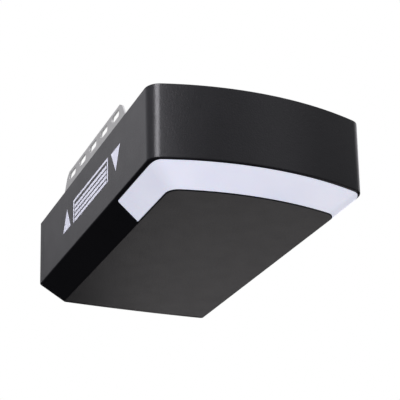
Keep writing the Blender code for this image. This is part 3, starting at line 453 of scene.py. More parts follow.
WALL_LEVEL = Level(
    height=SLOPE,
    half_width=WIDTH / 2,
    front_y=FRONT_Y,
    front_bow=FRONT_BOW,
    front_radius=CORNER_RADIUS,
    rear_y=REAR_Y,
    rear_bow=REAR_BOW,
    rear_radius=REAR_RADIUS,
    seam_y=REAR_Y - WALL_SEAM,
)
TOP_LEVEL = WALL_LEVEL._replace(
    height=COVER_TOP,
    half_width=WIDTH / 2 + DRAFT,
    front_y=FRONT_Y - DRAFT,
    front_radius=TOP_CORNER_RADIUS,
    rear_y=REAR_Y + REAR_LEAN,
    seam_y=REAR_Y + REAR_LEAN - TOP_SEAM,
)
PANEL_LEVEL = WALL_LEVEL._replace(
    height=0.0,
    half_width=WIDTH / 2 - SIDE_INSET,
    front_y=FRONT_Y + FRONT_SETBACK,
    front_bow=PANEL_FRONT_BOW,
    rear_y=REAR_Y - REAR_SETBACK,
    seam_y=REAR_Y - REAR_SETBACK - PANEL_SEAM,
)


def between(first, second, share):
    return Level(*(a + (b - a) * share for a, b in zip(first, second)))


def shrunk(level, distance, lift=0.0):
    """The same level, moved inwards all round and raised."""
    return level._replace(
        height=level.height + lift,
        half_width=level.half_width - distance,
        front_y=level.front_y + distance,
        front_radius=max(level.front_radius - distance, 0.002),
        rear_y=level.rear_y - distance,
        rear_radius=max(level.rear_radius - distance, 0.0008),
    )


def bowed_end(half_width, corner_y, bow, radius, arc_steps, corner_steps):
    """From the middle of an edge that bows to -Y to the end of its rounded corner."""
    arc = (half_width**2 + bow**2) / (2 * bow)
    arc_y = corner_y - bow + arc
    reach = math.sqrt((arc - radius) ** 2 - (half_width - radius) ** 2)
    turn = math.atan2(half_width - radius, reach)
    points = []
    for step in range(arc_steps + 1):
        angle = turn * step / arc_steps
        points.append((arc * math.sin(angle), arc_y - arc * math.cos(angle)))
    for step in range(1, corner_steps + 1):
        angle = turn + (math.pi / 2 - turn) * step / corner_steps
        x = half_width - radius + radius * math.sin(angle)
        points.append((x, arc_y - reach - radius * math.cos(angle)))
    return points


ARC_STEPS = 36
CORNER_STEPS = 14
REAR_ARC_STEPS = 24
REAR_CORNER_STEPS = 6


def front_half(level):
    shape = (level.half_width, level.front_y, level.front_bow, level.front_radius)
    return bowed_end(*shape, ARC_STEPS, CORNER_STEPS)


def rear_half(level):
    shape = (level.half_width, -level.rear_y, level.rear_bow, level.rear_radius)
    flipped = bowed_end(*shape, REAR_ARC_STEPS, REAR_CORNER_STEPS)
    return [(x, -y) for x, y in reversed(flipped)]


# The inside is parallel to the outside, so at an edge it moves in by half the slope's angle.
EDGE_SHIFT = SHELL * math.tan(math.radians(22.5))
OUTSIDE = (TOP_LEVEL, WALL_LEVEL, PANEL_LEVEL)
INSIDE = (
    shrunk(TOP_LEVEL, SHELL),
    shrunk(WALL_LEVEL, SHELL, EDGE_SHIFT),
    shrunk(PANEL_LEVEL, EDGE_SHIFT, SHELL),
)


def eased(before, corner, after, reach_before, reach_after, steps=5):
    """Levels that round the edge at corner."""
    first, last = between(corner, before, reach_before), between(corner, after, reach_after)
    made = []
    for step in range(steps + 1):
        share = step / steps
        weights = ((1 - share) ** 2, 2 * share * (1 - share), share**2)
        trios = zip(first, corner, last)
        made.append(Level(*(sum(w * v for w, v in zip(weights, trio)) for trio in trios)))
    return made


def form_levels(levels, wall_reach, panel_reach, rim_reach):
    """All the rings of one side of the shell, from its mouth to just inside the panel's edge."""
    top, wall, panel = levels
    rings = [shrunk(top, rim_reach)]
    rings += [between(top, wall, share) for share in (rim_reach / WALL_HEIGHT, 0.03, 0.5)]
    rings += eased(top, wall, panel, wall_reach / WALL_HEIGHT, wall_reach / SLOPE_LENGTH)
    rings += [between(wall, panel, share) for share in (LENS_TOP, LENS_BOTTOM)]
    flat_reach = 0.01
    flat = shrunk(panel, flat_reach)
    rings += eased(wall, panel, flat, panel_reach / SLOPE_LENGTH, panel_reach / flat_reach, 3)
    rings.append(shrunk(panel, 0.003))
    return rings


LIP_RING = 10  # ring along the lens opening's upper edge


def double_wall(outer, inner_rows, skipped, capped):
    """Closed wall from two grids of points: outer faces, inner faces turned round, and rims.

    A rim joins every free edge that isn't on the mirror plane. skipped are the outer faces left
    open, and capped are the panel's middle points at its rear end, outside and inside.
    """
    shape = bmesh.new()
    near = [[shape.verts.new(point) for point in row] for row in outer]
    far = [[shape.verts.new(point) for point in row] for row in inner_rows]
    twin = {a: b for row, other in zip(near, far) for a, b in zip(row, other)}
    made = []
    for r in range(len(near) - 1):
        for s in range(len(near[r]) - 1):
            if (r, s) not in skipped:
                corners_of = (near[r][s], near[r + 1][s], near[r + 1][s + 1], near[r][s + 1])
                made.append(shape.faces.new(corners_of))
    if capped is not None:
        ends = [shape.verts.new(point) for point in capped]
        twin[ends[0]] = ends[1]
        made.append(shape.faces.new([ends[0], *reversed(near[-1])]))
    free = [e for face in made for e in face.edges if len(e.link_faces) == 1]
    rims = []
    for edge in free:
        a, b = edge.link_loops[0].vert, edge.link_loops[0].link_loop_next.vert
        if abs(a.co.x) > 1e-6 or abs(b.co.x) > 1e-6:
            rims.append((b, a, twin[a], twin[b]))
    for face in list(made):
        shape.faces.new([twin[v] for v in reversed(face.verts)])
    for rim in rims:
        shape.faces.new(rim)
    loose = [v for v in shape.verts if not v.link_faces]
    bmesh.ops.delete(shape, geom=loose, context="VERTS")
    return shape


def mirrored(shape):
    """Adds the other half across the plane x = 0."""
    everything = shape.verts[:] + shape.edges[:] + shape.faces[:]
    bmesh.ops.mirror(shape, geom=everything, axis="X", merge_dist=0.000002)
    bmesh.ops.recalc_face_normals(shape, faces=shape.faces)
    return shape


def lens_leg_stations(radius, end):
    """Places along a straight leg up to the lens's end, close together in its rounded corner."""
    steps = 8
    ys = [end - radius * 5, end - radius]
    for step in range(1, steps + 1):
        ys.append(end - radius + radius * math.sin(math.pi / 2 * step / steps))
    return ys


def corner_inset(y, end, radius):
    """How far the rounded corner has turned in at this station, across the strip."""
    past = y - (end - radius)
    if past <= 0:
        return 0.0
    return radius - math.sqrt(max(radius**2 - past**2, 0.0))


def strip_row(wall, panel, shares, direction, end, radius):
    """One long edge of the lens or of its opening, from the middle of the front to the leg's end.

    shares are its places on the slope across the front and along the leg.
    """
    row = []
    for station in range(ARC_STEPS + CORNER_STEPS + 1):
        turn = max(station - ARC_STEPS, 0) / CORNER_STEPS
        eased_turn = turn * turn * (3 - 2 * turn)
        level = between(wall, panel, shares[0] + (shares[1] - shares[0]) * eased_turn)
        row.append((*front_half(level)[station], level.height))
    for y in lens_leg_stations(LENS_CORNER_REACH, end):
        inset = direction * corner_inset(y, end, radius) / SLOPE_LENGTH
        level = between(wall, panel, shares[1] + inset)
        row.append((level.half_width, y, level.height))
    return row


LENS_CORNER_REACH = 0.0018
LENS_UPPER_RADIUS = 0.0018
LENS_LOWER_RADIUS = 0.0005
LENS_UPPER = (LENS_TOP_FRONT, LENS_TOP)
LENS_LOWER = (LENS_BOTTOM, LENS_BOTTOM)
SIDE_STATIONS = 8  # from the lens's end to the rear cap's seam


def shell_rows(levels, wall_reach, panel_reach, rim_reach):
    """The cover's grid of points on one side of the mirror plane, bent round the lens opening."""
    opening = {
        LIP_RING: (LENS_UPPER, 1, LENS_END_Y, LENS_UPPER_RADIUS),
        LIP_RING + 1: (LENS_LOWER, -1, LENS_END_Y, LENS_LOWER_RADIUS),
    }
    rows = []
    for number, level in enumerate(form_levels(levels, wall_reach, panel_reach, rim_reach)):
        if number in opening:
            row = strip_row(levels[1], levels[2], *opening[number])
        else:
            row = [(x, y, level.height) for x, y in front_half(level)]
            stations = lens_leg_stations(LENS_CORNER_REACH, LENS_END_Y)
            row += [(level.half_width, y, level.height) for y in stations]
        start, stop = LENS_END_Y + 0.002, level.seam_y - SEAM_GAP / 2
        for step in range(SIDE_STATIONS):
            y = start + (stop - start) * step / (SIDE_STATIONS - 1)
            row.append((level.half_width, y, level.height))
        rows.append(row)
    return rows


# reaches of the edge roundings: wall to slope, slope to panel, and the mouth's rim
OUTSIDE_REACHES = (0.0016, 0.0004, 0.0004)
INSIDE_REACHES = (0.0002, 0.0002, -0.0004)


COVER_POSTS = [(side * x, y) for x, y in ((0.076, -0.150), (0.088, 0.140)) for side in (-1, 1)]
POST_PROFILE = (
    (0.0075, SHELL - 0.0002),
    (0.0056, SHELL + 0.0015),
    (0.0048, SHELL + 0.0035),
    (0.0046, 0.1085),
    (0.0042, 0.1092),
    (0.0022, 0.1092),
    (0.0021, 0.0960),
)


def make_housing():
    outer = shell_rows(OUTSIDE, *OUTSIDE_REACHES)
    inside = shell_rows(INSIDE, *INSIDE_REACHES)
    lens_columns = len(outer[0]) - SIDE_STATIONS - 1
    skipped = {(LIP_RING, s) for s in range(lens_columns)}
    seam = PANEL_LEVEL.seam_y - SEAM_GAP / 2
    shape = mirrored(double_wall(outer, inside, skipped, [(0, seam, 0), (0, seam, SHELL)]))
    add_piece("housing_shell", shape, "black_plastic", stands_for=["cover_shell"], crisp=40)
    for number, (x, y) in enumerate(COVER_POSTS, 1):
        post = lathe(bmesh.new(), POST_PROFILE, placed((x, y, 0)), 24)
        add_piece(f"cover_post_{number}", post, "black_plastic")


def make_lens():
    """The strip in the opening, with a slit all round it and its inner face a little narrower."""
    slit = 0.012  # share of the slope
    thickness = 0.0026
    end = LENS_END_Y - 0.0005
    grids = []
    for inset, taper in ((0.0, 0.0), (thickness / math.sqrt(2), 0.03)):
        wall, panel = shrunk(WALL_LEVEL, inset, inset), shrunk(PANEL_LEVEL, inset, inset)
        upper = [share + slit for share in LENS_UPPER]
        lower = [share - slit - taper for share in LENS_LOWER]
        grids.append(
            [
                strip_row(wall, panel, upper, 1, end, LENS_UPPER_RADIUS),
                strip_row(wall, panel, lower, -1, end, LENS_LOWER_RADIUS),
            ]
        )
    shape = mirrored(double_wall(*grids, (), None))
    add_piece("lens", shape, "milky_lens", stands_for=["light_lens"], rounding=0.0004, steps=3)


BUTTONS = {"up": 0.040, "down": 0.058, "learn": 0.076}
BUTTON_Z = 0.060
BUTTON_HOLE_RADIUS = 0.0043
INLET_X = -0.070
INLET_Z = 0.060
INLET_HALF = (0.0143, 0.0113)
WIRE_Z = 0.060
WIRE_HALF = (0.017, 0.005)
OPENING_RADIUS = 0.0018
CAP_SCREWS = [(-0.080, 0.101), (0.080, 0.101)]
CAP_SCREW_RADIUS = 0.0016


def rear_face_y(x, z):
    level = between(WALL_LEVEL, TOP_LEVEL, (z - SLOPE) / WALL_HEIGHT)
    return level.rear_y + level.rear_bow * (1 - (x / level.half_width) ** 2)


def make_rear_cap():
    grids = []
    for levels, reaches in ((OUTSIDE, OUTSIDE_REACHES), (INSIDE, INSIDE_REACHES)):
        rows = []
        for level in form_levels(levels, *reaches):
            seam = level.seam_y + SEAM_GAP / 2
            row = [(level.half_width, y, level.height) for y in (seam, seam + 0.001)]
            rows.append(row + [(x, y, level.height) for x, y in rear_half(level)])
        grids.append(rows)
    seam = PANEL_LEVEL.seam_y + SEAM_GAP / 2
    shape = mirrored(double_wall(*grids, (), [(0, seam, 0), (0, seam, SHELL)]))
    cap = add_piece("rear_cap_skin", shape, "black_plastic", stands_for=["rear_cap"], crisp=40)
    holes = [round_hole(x, BUTTON_Z, BUTTON_HOLE_RADIUS, 40) for x in BUTTONS.values()]
    holes += [round_hole(x, z, CAP_SCREW_RADIUS + 0.0004, 24) for x, z in CAP_SCREWS]
    holes.append(tunnel(rounded_box(*INLET_HALF, OPENING_RADIUS), INLET_X, INLET_Z))
    holes.append(tunnel(rounded_box(*WIRE_HALF, OPENING_RADIUS), 0.0, WIRE_Z))
    carve(cap, holes)
    cap.data.shade_smooth()
    cap.data.set_sharp_from_angle(angle=math.radians(40))
    shade_evenly(cap, True)


def round_hole(x, z, radius, sides):
    """Cutter for a round hole through the rear wall."""
    where = placed((x, rear_face_y(x, z), z), "Y")
    return lathe(bmesh.new(), [(radius, -0.008), (radius, 0.008)], where, sides)


def tunnel(outline, middle_x, middle_z):
    """Cutter through the rear wall for an outline in X and Z."""
    rings = [[(middle_x + x, y, middle_z + z) for x, z in outline] for y in (0.197, 0.220)]
    return skin(bmesh.new(), rings)


def rim_frame(outline_at, offsets, start):
    """A raised frame round an opening in the rear wall. offsets are (outward, proud) steps."""
    x0, z0 = start
    rings = []
    for grow, proud in offsets:
        ring = []
        for x, z in outline_at(grow):
            ring.append((x0 + x, rear_face_y(x0 + x, z0 + z) + proud, z0 + z))
        rings.append(ring)
    return skin(bmesh.new(), rings, closed=True)


# ---- sheet metal


def flat_pattern(outline, holes):
    """Filled flat shape with holes, in the plane of its first two coordinates."""
    shape = bmesh.new()
    edges = []
    for loop in [outline, *holes]:
        verts = [shape.verts.new((*point, 0.0)) for point in loop]
        edges += [shape.edges.new(pair) for pair in zip(verts, verts[1:] + verts[:1])]
    bmesh.ops.triangle_fill(shape, use_beauty=True, edges=edges, normal=(0, 0, 1))
    return shape


def fold(shape, path, lines):
    """Splits the flat pattern at the given second coordinates and lays it along path.

    path turns (first, second) into a point.
    """
    for line in lines:
        everything = shape.verts[:] + shape.edges[:] + shape.faces[:]
        place = {"plane_co": (0, line, 0), "plane_no": (0, 1, 0)}
        bmesh.ops.bisect_plane(shape, geom=everything, dist=1e-7, **place)
    for vert in shape.verts:
        vert.co = path(vert.co.x, vert.co.y)
    bmesh.ops.recalc_face_normals(shape, faces=shape.faces)
    return shape


def sheet_piece(name, shape, node):
    """Sheet of the steel's thickness, half to each side of the surface."""
    obj = add_piece(name, shape, "zinc_plate", stands_for=[node], rounding=0.00025, crisp=38)
    solid = obj.modifiers.new("Thickness", "SOLIDIFY")
    solid.thickness = STEEL
    solid.offset = 0.0
    solid.use_even_offset = True
    obj.modifiers.move(len(obj.modifiers) - 1, 0)
    settle(obj)


BEND = 0.0025  # radius at the middle of the sheet
BEND_LENGTH = BEND * math.pi / 2
BEND_STEPS = 6
BOLT_HOLE_RADIUS = 0.0033
BRACKET_BOLT_X = BRACKET_X - 0.017
BRACKET_BOLTS = [BRACKET_MID_Y - 0.080, BRACKET_MID_Y + 0.080]


def make_bracket(side):
    """Slotted hanger. First coordinate along Y from its middle, second up from the bend."""
    middle_x = BRACKET_X - STEEL / 2
    middle_z = FOOT_BOTTOM + STEEL / 2
    foot = FOOT_WIDTH - STEEL / 2 - BEND
    upright = BRACKET_TOP - middle_z - BEND
    half = BRACKET_LENGTH / 2
    notch = 0.0012
    clip = 0.005
    splay = half + (BRACKET_TOP - FOOT_BOTTOM) * BRACKET_SPLAY
    bend_top = BEND_LENGTH
    top = bend_top + upright
    low = bend_top - BEND - STEEL / 2  # foot's underside, measured up a straight wing
    right = [
        (half - 0.003, -foot),
        (half - 0.0009, -foot + 0.0009),
        (half, -foot + 0.003),
        (half, bend_top + 0.0015),
        (half + notch, bend_top + 0.0015),
        (half + notch, low),
        (splay, low),
        (half + clip * BRACKET_SPLAY, top - clip),
        (half - clip, top),
    ]
    outline = right + [(-x, y) for x, y in reversed(right)]
    holes = []
    slot = rounded_box(SLOT_LENGTH / 2, SLOT_HEIGHT / 2, SLOT_CORNER)
    slot_y = top - SLOT_DROP
    for step in range(-2, 3):
        holes.append([(SLOT_PITCH * step + x, slot_y + y) for x, y in slot])
    bolt_line = BRACKET_BOLT_X - (middle_x - BEND)
    for y in BRACKET_BOLTS:
        holes.append(circle(y - BRACKET_MID_Y, bolt_line, BOLT_HOLE_RADIUS))

    def path(first, second):
        y = BRACKET_MID_Y + first
        if second >= bend_top or abs(first) > half + notch / 2:
            return Vector((side * middle_x, y, middle_z + BEND + second - bend_top))
        if second <= 0:
            return Vector((side * (middle_x - BEND + second), y, middle_z))
        angle = second / BEND
        x = middle_x - BEND + BEND * math.sin(angle)
        return Vector((side * x, y, middle_z + BEND * (1 - math.cos(angle))))

    lines = [BEND_LENGTH * step / BEND_STEPS for step in range(BEND_STEPS + 1)]
    shape = fold(flat_pattern(outline, holes), path, lines)
    word = "left" if side < 0 else "right"
    sheet_piece(f"bracket_{word}", shape, f"hanger_bracket_{word}")


SADDLE_Y = (-0.155, -0.085)
SADDLE_HALF = 0.023
SADDLE_TOP = 0.1315
SADDLE_BOLTS = [-0.140, -0.100]
RAIL_BOLT_Z = 0.1235


def make_saddle():
    """U channel for the rail's end. First coordinate along Y, second across from its middle."""
    middle_z = FOOT_BOTTOM + STEEL / 2
    half = SADDLE_HALF - STEEL / 2
    flat = half - BEND
    rise = SADDLE_TOP - middle_z - BEND
    far = flat + BEND_LENGTH + rise
    centre = sum(SADDLE_Y) / 2
    long_half = (SADDLE_Y[1] - SADDLE_Y[0]) / 2
    corner = [(long_half - x, far - y) for x, y in ((0, 0.005), (0.0015, 0.0015), (0.005, 0))]
    top = corner + [(-x, y) for x, y in reversed(corner)]
    outline = top + [(-x, -y) for x, y in top]
    holes = []
    rail_bolt = flat + BEND_LENGTH + RAIL_BOLT_Z - middle_z - BEND
    for y in SADDLE_BOLTS:
        for across in (0.0, -rail_bolt, rail_bolt):
            holes.append(circle(y - centre, across, BOLT_HOLE_RADIUS))

    def path(first, second):
        way = 1 if second > 0 else -1
        past = abs(second) - flat
        y = centre + first
        if past <= 0:
            return Vector((second, y, middle_z))
        if past <= BEND_LENGTH:
            angle = past / BEND
            x = flat + BEND * math.sin(angle)
            return Vector((way * x, y, middle_z + BEND * (1 - math.cos(angle))))
        return Vector((way * half, y, middle_z + BEND + past - BEND_LENGTH))

    bend = [flat + BEND_LENGTH * step / BEND_STEPS for step in range(BEND_STEPS + 1)]
    lines = [way * line for way in (-1, 1) for line in bend]
    shape = fold(flat_pattern(outline, holes), path, lines)
    sheet_piece("saddle", shape, "rail_saddle")


# ---- fasteners and drive


HEAD_GAP = 0.0003


def hex_bolt(name, seat, axis, length):
    """Flanged hexagon head with chamfered corners, and its shank."""
    apothem, height, radius = 0.0043, 0.004, 0.003
    where = placed(seat, axis)
    chamfer = apothem * 0.97
    base = HEAD_GAP
    flange = 0.0011
    sides = 48

    def crown(angle):
        return apothem / math.cos((angle % (math.pi / 3)) - math.pi / 6)

    rings = [
        round_ring(radius - 0.0006, -length, where, sides),
        round_ring(radius, -length + 0.0006, where, sides),
        round_ring(radius, base, where, sides),
        round_ring(0.0054, base, where, sides),
        round_ring(0.0057, base + 0.0003, where, sides),
        round_ring(0.0055, base + flange - 0.0003, where, sides),
        round_ring(crown, base + flange, where, sides),
    ]
    for share in (0.0, 1.0):
        ring = []
        for i in range(sides):
            angle = 2 * math.pi * i / sides
            wide = crown(angle)
            reach = wide + (chamfer - wide) * share
            drop = (max(wide - chamfer, 0.0) * 0.55 + 0.0001) * (1 - share)
            point = (reach * math.cos(angle), reach * math.sin(angle), base + height - drop)
            ring.append(where @ Vector(point))
        rings.append(ring)
    rings.append(round_ring(apothem * 0.72, base + height, where, sides))
    rings.append(round_ring(apothem * 0.66, base + height - 0.0003, where, sides))
    shape = skin(bmesh.new(), rings)
    add_piece(f"{name}_part", shape, "bright_steel", stands_for=[name], crisp=28)


def pan_screw(name, seat, axis, length, head=0.004, height=0.0024, radius=0.0017):
    """Pan head with a cross recess."""
    where = placed(seat, axis)
    base = HEAD_GAP
    profile = [
        (0.0002, -length),
        (radius, -length + 0.003),
        (radius, base),
        (head - 0.0003, base),
        (head, base + 0.0004),
        (head * 0.97, base + height * 0.5),
        (head * 0.82, base + height * 0.84),
        (head * 0.5, base + height * 0.98),
        (head * 0.1, base + height),
    ]
    shape = lathe(bmesh.new(), profile, where, 36)
    screw = add_piece(f"{name}_part", shape, "bright_steel", stands_for=[name])
    cuts = []
    for x, y in ((head * 0.11, head * 0.52), (head * 0.52, head * 0.11)):
        recess = bmesh.new()
        block(recess, (-x, -y, base + height * 0.35), (x, y, base + height + 0.001))
        recess.transform(where)
        cuts.append(recess)
    carve(screw, cuts)
    screw.data.set_sharp_from_angle(angle=math.radians(32))


GEARBOX_BOLTS = [(-0.034, DRIVE_Y - 0.034), (-0.034, DRIVE_Y + 0.034), (0.062, DRIVE_Y)]
TOROID = (-0.050, 0.070)


def make_fasteners():
    for number, y in enumerate(BRACKET_BOLTS, 1):
        for word, side in (("left", -1), ("right", 1)):
            seat = (side * BRACKET_BOLT_X, y, FOOT_TOP)
            hex_bolt(f"bracket_bolt_{word}_{number}", seat, "Z", 0.012)
    for number, (x, y) in enumerate(GEARBOX_BOLTS, 1):
        hex_bolt(f"gearbox_bolt_{number}", (x, y, PLATE_TOP), "Z", 0.060)
    for number, y in enumerate(SADDLE_BOLTS, 1):
        hex_bolt(f"saddle_bolt_{number}", (0, y, PLATE_TOP - STEEL), "-Z", STEEL * 2 - 0.0003)
    hex_bolt("transformer_bolt", (*TOROID, PLATE_TOP), "Z", 0.035)
    for number, (x, y) in enumerate(COVER_POSTS, 1):
        pan_screw(f"cover_screw_{number}", (x, y, PLATE_TOP), "Z", 0.012)
    for number, (x, z) in enumerate(CAP_SCREWS, 1):
        seat = (x, rear_face_y(x, z) + 0.0002, z)
        pan_screw(f"cap_screw_{number}", seat, "Y", 0.016, 0.0036, 0.0020, CAP_SCREW_RADIUS)


def make_plate_beads():
    """Stiffening beads pressed up in the chassis plate."""
    section = ((0.0, -0.0002), (0.0, 0.0002), (0.0008, 0.0008), (0.0022, 0.0011))
    for name, x, y, half_x, half_y in (
        ("plate_bead_left", -0.079, 0.0, 0.004, 0.115),
        ("plate_bead_right", 0.079, 0.0, 0.004, 0.115),
        ("plate_bead_rear", 0.0, 0.165, 0.072, 0.004),
    ):
        rings = []
        for inset, height in section:
            radius = min(half_x, half_y) - inset - 0.0003
            outline = rounded_box(half_x - inset, half_y - inset, radius)
            rings.append([(x + px, y + py, PLATE_TOP + height) for px, py in outline])
        add_piece(name, skin(bmesh.new(), rings), "zinc_plate")


def make_sprocket():
    """Nine teeth with round seats for the chain's rollers, on a hub."""
    teeth, pitch_radius, roller, tip = 9, 0.0150, 0.0031, 0.0170
    sides = teeth * 16
    where = placed((0, DRIVE_Y, 0))

    def tooth(angle):
        turn = (angle * teeth / (2 * math.pi)) % 1.0
        offset = (min(turn, 1 - turn)) * 2 * math.pi / teeth  # from the tooth's middle
        seat = math.pi / teeth - offset
        across = pitch_radius * math.sin(seat)
        if abs(across) < roller:
            depth = pitch_radius * math.cos(seat) - math.sqrt(roller**2 - across**2)
            return min(tip, depth)
        return tip

    def relieved(angle):
        return min(tooth(angle), tip - 0.0006)

    profile = (
        (0.0055, 0.1145),
        (0.0090, 0.1145),
        (0.0095, 0.1150),
        (0.0095, 0.1182),
        (0.0100, 0.1185),
        (relieved, 0.1185),
        (tooth, 0.1196),
        (tooth, 0.1224),
        (relieved, 0.1235),
        (0.0100, 0.1235),
        (0.0095, 0.1238),
        (0.0095, 0.1260),
        (0.0090, 0.1265),
        (0.0055, 0.1265),
    )
    shape = lathe(bmesh.new(), profile, where, sides, closed=True)
    add_piece("sprocket", shape, "dark_steel", "drive", ["drive_sprocket"], crisp=38)
    profile = (
        (0.0053, 0.1262),
        (0.0053, 0.1272),
        (0.0076, 0.1272),
        (0.0080, 0.1268),
        (0.0080, 0.1262),
    )
    circlip = lathe(bmesh.new(), profile, where, 48, closed=True)
    add_piece("sprocket_circlip", circlip, "bright_steel", "drive")


# ---- rear face and marks


def flat_token(points, face_y, thickness):
    """A small raised shape in X and Z on a face that looks to +Y."""
    rings = [[(x, face_y + y, z) for x, z in points] for y in (-0.0001, thickness)]
    return skin(bmesh.new(), rings)


BEZEL_STEPS = (
    (0.0002, -0.0004),
    (0.0002, 0.0004),
    (0.0006, 0.0009),
    (0.0013, 0.0009),
    (0.0019, 0.0003),
    (0.0019, -0.0004),
)
FRAME_STEPS = (
    (0.0001, -0.0006),
    (0.0001, 0.0010),
    (0.0006, 0.0015),
    (0.0026, 0.0015),
    (0.0032, 0.0009),
    (0.0032, -0.0004),
)


def make_buttons():
    """A bezel round each button, and on the button a raised triangle or dot."""
    size = 0.0020
    for word, x in BUTTONS.items():
        if word == "learn":
            points = circle(x, BUTTON_Z, 0.6 * size, 24)
        else:
            tip = size if word == "up" else -size
            base_z = BUTTON_Z - tip * 0.55
            points = [(x - size, base_z), (x + size, base_z), (x, BUTTON_Z + tip * 0.95)]
        token = flat_token(points, rear_face_y(x, BUTTON_Z) + 0.0022, 0.0002)
        body = f"{word}_button"
        add_piece(f"{word}_token", token, "white_plastic", body, rounding=0.00005, finish=PRINT)

        def ring_at(grow):
            return circle(0, 0, BUTTON_HOLE_RADIUS + grow, 48)

        add_piece(f"{word}_bezel", rim_frame(ring_at, BEZEL_STEPS, (x, BUTTON_Z)), "black_plastic")


def make_rear_details():
    """Frames round the power inlet and the slot for the wires."""
    for name, half, radius, middle in (
        ("inlet_frame", INLET_HALF, 0.0020, (INLET_X, INLET_Z)),
        ("wire_frame", WIRE_HALF, 0.0018, (0.0, WIRE_Z)),
    ):

        def outline_at(grow):
            return rounded_box(half[0] + grow, half[1] + grow, radius + grow)

        add_piece(name, rim_frame(outline_at, FRAME_STEPS, middle), "sleeve_black", crisp=50)


MARK_Z = (0.0545, 0.0845)
MARK_Y = (0.108, -0.102)
MARK_PROUD = 0.00015


def wall_pad(shape, outline):
    """A thin pad with its outline in Y and Z, lying on the left wall, which leans out upwards."""
    rings = []
    for proud in (-0.0001, MARK_PROUD):
        reach = [WIDTH / 2 + DRAFT * (z - SLOPE) / WALL_HEIGHT + proud for _, z in outline]
        rings.append([(-x, y, z) for x, (y, z) in zip(reach, outline)])
    return skin(shape, rings)


def box_outline(y_low, y_high, z_low, z_high):
    return [(y_low, z_low), (y_high, z_low), (y_high, z_high), (y_low, z_high)]


def add_mark(name, shape):
    add_piece(name, shape, "white_plastic", crisp=30, finish=PRINT)


def make_marks():
    """Plain pictogram on the left wall: a wide sectional door between an up and a down triangle."""
    low, high = MARK_Z
    rear, front = MARK_Y
    middle, half = (low + high) / 2, (high - low) / 2
    arrow, gap, stroke = 0.030, 0.011, 0.0032
    for name, start, tip in (("mark_up", rear, 1), ("mark_down", front + arrow, -1)):
        rise = tip * half * 0.9
        base = [(start - arrow, middle - rise), (start, middle - rise)]
        add_mark(name, wall_pad(bmesh.new(), [*base, (start - arrow / 2, middle + rise)]))
    rear, front = rear - arrow - gap, front + arrow + gap
    shape = bmesh.new()
    for y_low, y_high in ((rear - stroke, rear), (front, front + stroke)):
        wall_pad(shape, box_outline(y_low, y_high, low, high))
    ends = (front + stroke + 0.0002, rear - stroke - 0.0002)
    wall_pad(shape, box_outline(*ends, high - stroke, high))
    add_mark("mark_frame", shape)
    slats, slat_gap = 4, 0.0022
    pitch = (high - stroke - slat_gap - low) / slats
    ends = (front + stroke + slat_gap, rear - stroke - slat_gap)
    shape = bmesh.new()
    for slat in range(slats):
        base = low + pitch * slat
        wall_pad(shape, box_outline(*ends, base, base + pitch - slat_gap))
    add_mark("mark_slats", shape)


# ---- carried-over CAD nodes


def dress_nodes():
    slots = {part["node"]: part["material_slot"] for part in frame["record"]["subparts"]}
    for name, node in NODES.items():
        node.data.materials.clear()
        node.data.materials.append(FINISHES[slots[name]])


# ---- camera, light and floor

TARGET = Vector((-0.0852, -0.22385, -0.03036))
DISTANCE = 1.2028
AZIMUTH = math.radians(-23.564)
ELEVATION = math.radians(-24.202)
ROLL = math.radians(-1.168)


def make_camera():
    data = bpy.data.cameras.new("camera")
    data.lens = 108.68
    data.sensor_width = 36.0
    camera = bpy.data.objects.new("camera", data)
    bpy.context.scene.collection.objects.link(camera)
    level = math.cos(ELEVATION)
    back = Vector((math.sin(AZIMUTH) * level, -math.cos(AZIMUTH) * level, math.sin(ELEVATION)))
    right = (-back).cross(Vector((0, 0, 1))).normalized()
    up = right.cross(-back)
    across = math.cos(ROLL) * right + math.sin(ROLL) * up
    above = -math.sin(ROLL) * right + math.cos(ROLL) * up
    turn = Matrix((across, above, back)).transposed().to_4x4()
    camera.matrix_world = Matrix.Translation(TARGET + back * DISTANCE) @ turn
    bpy.context.scene.camera = camera


COOL = (1.0, 0.982, 1.04)
NEUTRAL = (1.02, 0.982, 0.99)
# name, direction from the object's middle, distance, width, height, radiance, seen in reflections
SOFTBOXES = [
    ("rear_left_high", (-0.50, 0.71, 0.53), 2.2, 1.2, 1.3, 0.42, True),
    ("front_left_strip", (-0.580, -0.700, 0.42), 2.2, 0.86, 1.6, 8.6, True),
    ("front_right_high", (0.42, -0.82, 0.42), 2.4, 0.8, 1.2, 0.35, True),
    ("left_high", (-0.62, -0.05, 0.78), 2.2, 2.0, 2.0, 4.6, False),
    ("rear_right_low", (0.54, 0.725, -0.42), 2.6, 1.85, 1.4, 0.445, True),
    ("front_right_low", (0.80, -0.40, -0.45), 2.6, 1.3, 1.2, 0.9, True),
    ("top", (0.15, 0.10, 1.0), 2.4, 2.0, 2.0, 0.55, True),
    ("rear_right_high", (0.60, 0.72, 0.35), 2.4, 1.4, 1.4, 1.1, True),
    ("right_high", (0.76, 0.20, 0.60), 2.4, 1.4, 1.4, 0.9, True),
]


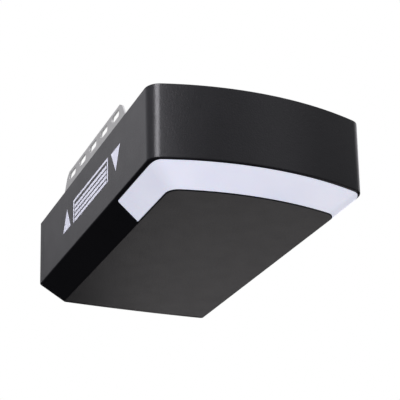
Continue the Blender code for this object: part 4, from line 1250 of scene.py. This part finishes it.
def make_lights():
    middle = Vector((0, 0, 0.06))
    for name, direction, distance, width, height, radiance, mirrored_too in SOFTBOXES:
        data = bpy.data.lights.new(name, "AREA")
        data.shape = "RECTANGLE"
        data.size, data.size_y = width, height
        data.energy = radiance * math.pi * width * height
        light = bpy.data.objects.new(name, data)
        bpy.context.scene.collection.objects.link(light)
        way = Vector(direction).normalized()
        light.location = middle + way * distance
        light.rotation_mode = "QUATERNION"
        light.rotation_quaternion = way.to_track_quat("Z", "Y")
        data.color = NEUTRAL if name in ("rear_right_low", "front_right_low") else COOL
        light.visible_camera = False
        light.visible_glossy = mirrored_too


def make_world():
    """White behind the object, and for its light a dim room that is paler above than below."""
    world = bpy.data.worlds.new("studio")
    bpy.context.scene.world = world
    world.use_nodes = True
    tree = world.node_tree
    tree.nodes.clear()

    def node(kind):
        return tree.nodes.new(f"ShaderNode{kind}")

    output, mix, path = node("OutputWorld"), node("MixShader"), node("LightPath")
    seen, room = node("Background"), node("Background")
    where, split, ramp = node("TexCoord"), node("SeparateXYZ"), node("ValToRGB")
    seen.inputs["Color"].default_value = WHITE
    below, above = ramp.color_ramp.elements
    below.position, below.color = 0.50, (0.022, 0.022, 0.026, 1)
    above.position, above.color = 0.88, (0.45, 0.45, 0.46, 1)
    rise = node("MapRange")
    rise.inputs[1].default_value, rise.inputs[2].default_value = -1.0, 1.0
    for source, target in (
        (where.outputs["Generated"], split.inputs[0]),
        (split.outputs["Z"], rise.inputs[0]),
        (rise.outputs[0], ramp.inputs[0]),
        (ramp.outputs[0], room.inputs["Color"]),
        (path.outputs["Is Camera Ray"], mix.inputs[0]),
        (room.outputs[0], mix.inputs[1]),
        (seen.outputs[0], mix.inputs[2]),
        (mix.outputs[0], output.inputs["Surface"]),
    ):
        tree.links.new(source, target)


def make_floor():
    shape = bmesh.new()
    depth = Matrix.Translation((0, 0, -1.9))
    bmesh.ops.create_grid(shape, x_segments=1, y_segments=1, size=60.0, matrix=depth)
    floor = mesh_object("floor", shape)
    floor.data.materials.append(FLOOR_PAINT)
    floor.visible_glossy = False
    floor.visible_diffuse = False


make_camera()
make_world()
make_lights()
make_floor()
bpy.context.scene.view_settings.view_transform = "Standard"
dress_nodes()
make_housing()
make_lens()
make_rear_cap()
make_bracket(-1)
make_bracket(1)
make_saddle()
make_fasteners()
make_plate_beads()
make_sprocket()
make_buttons()
make_rear_details()
make_marks()
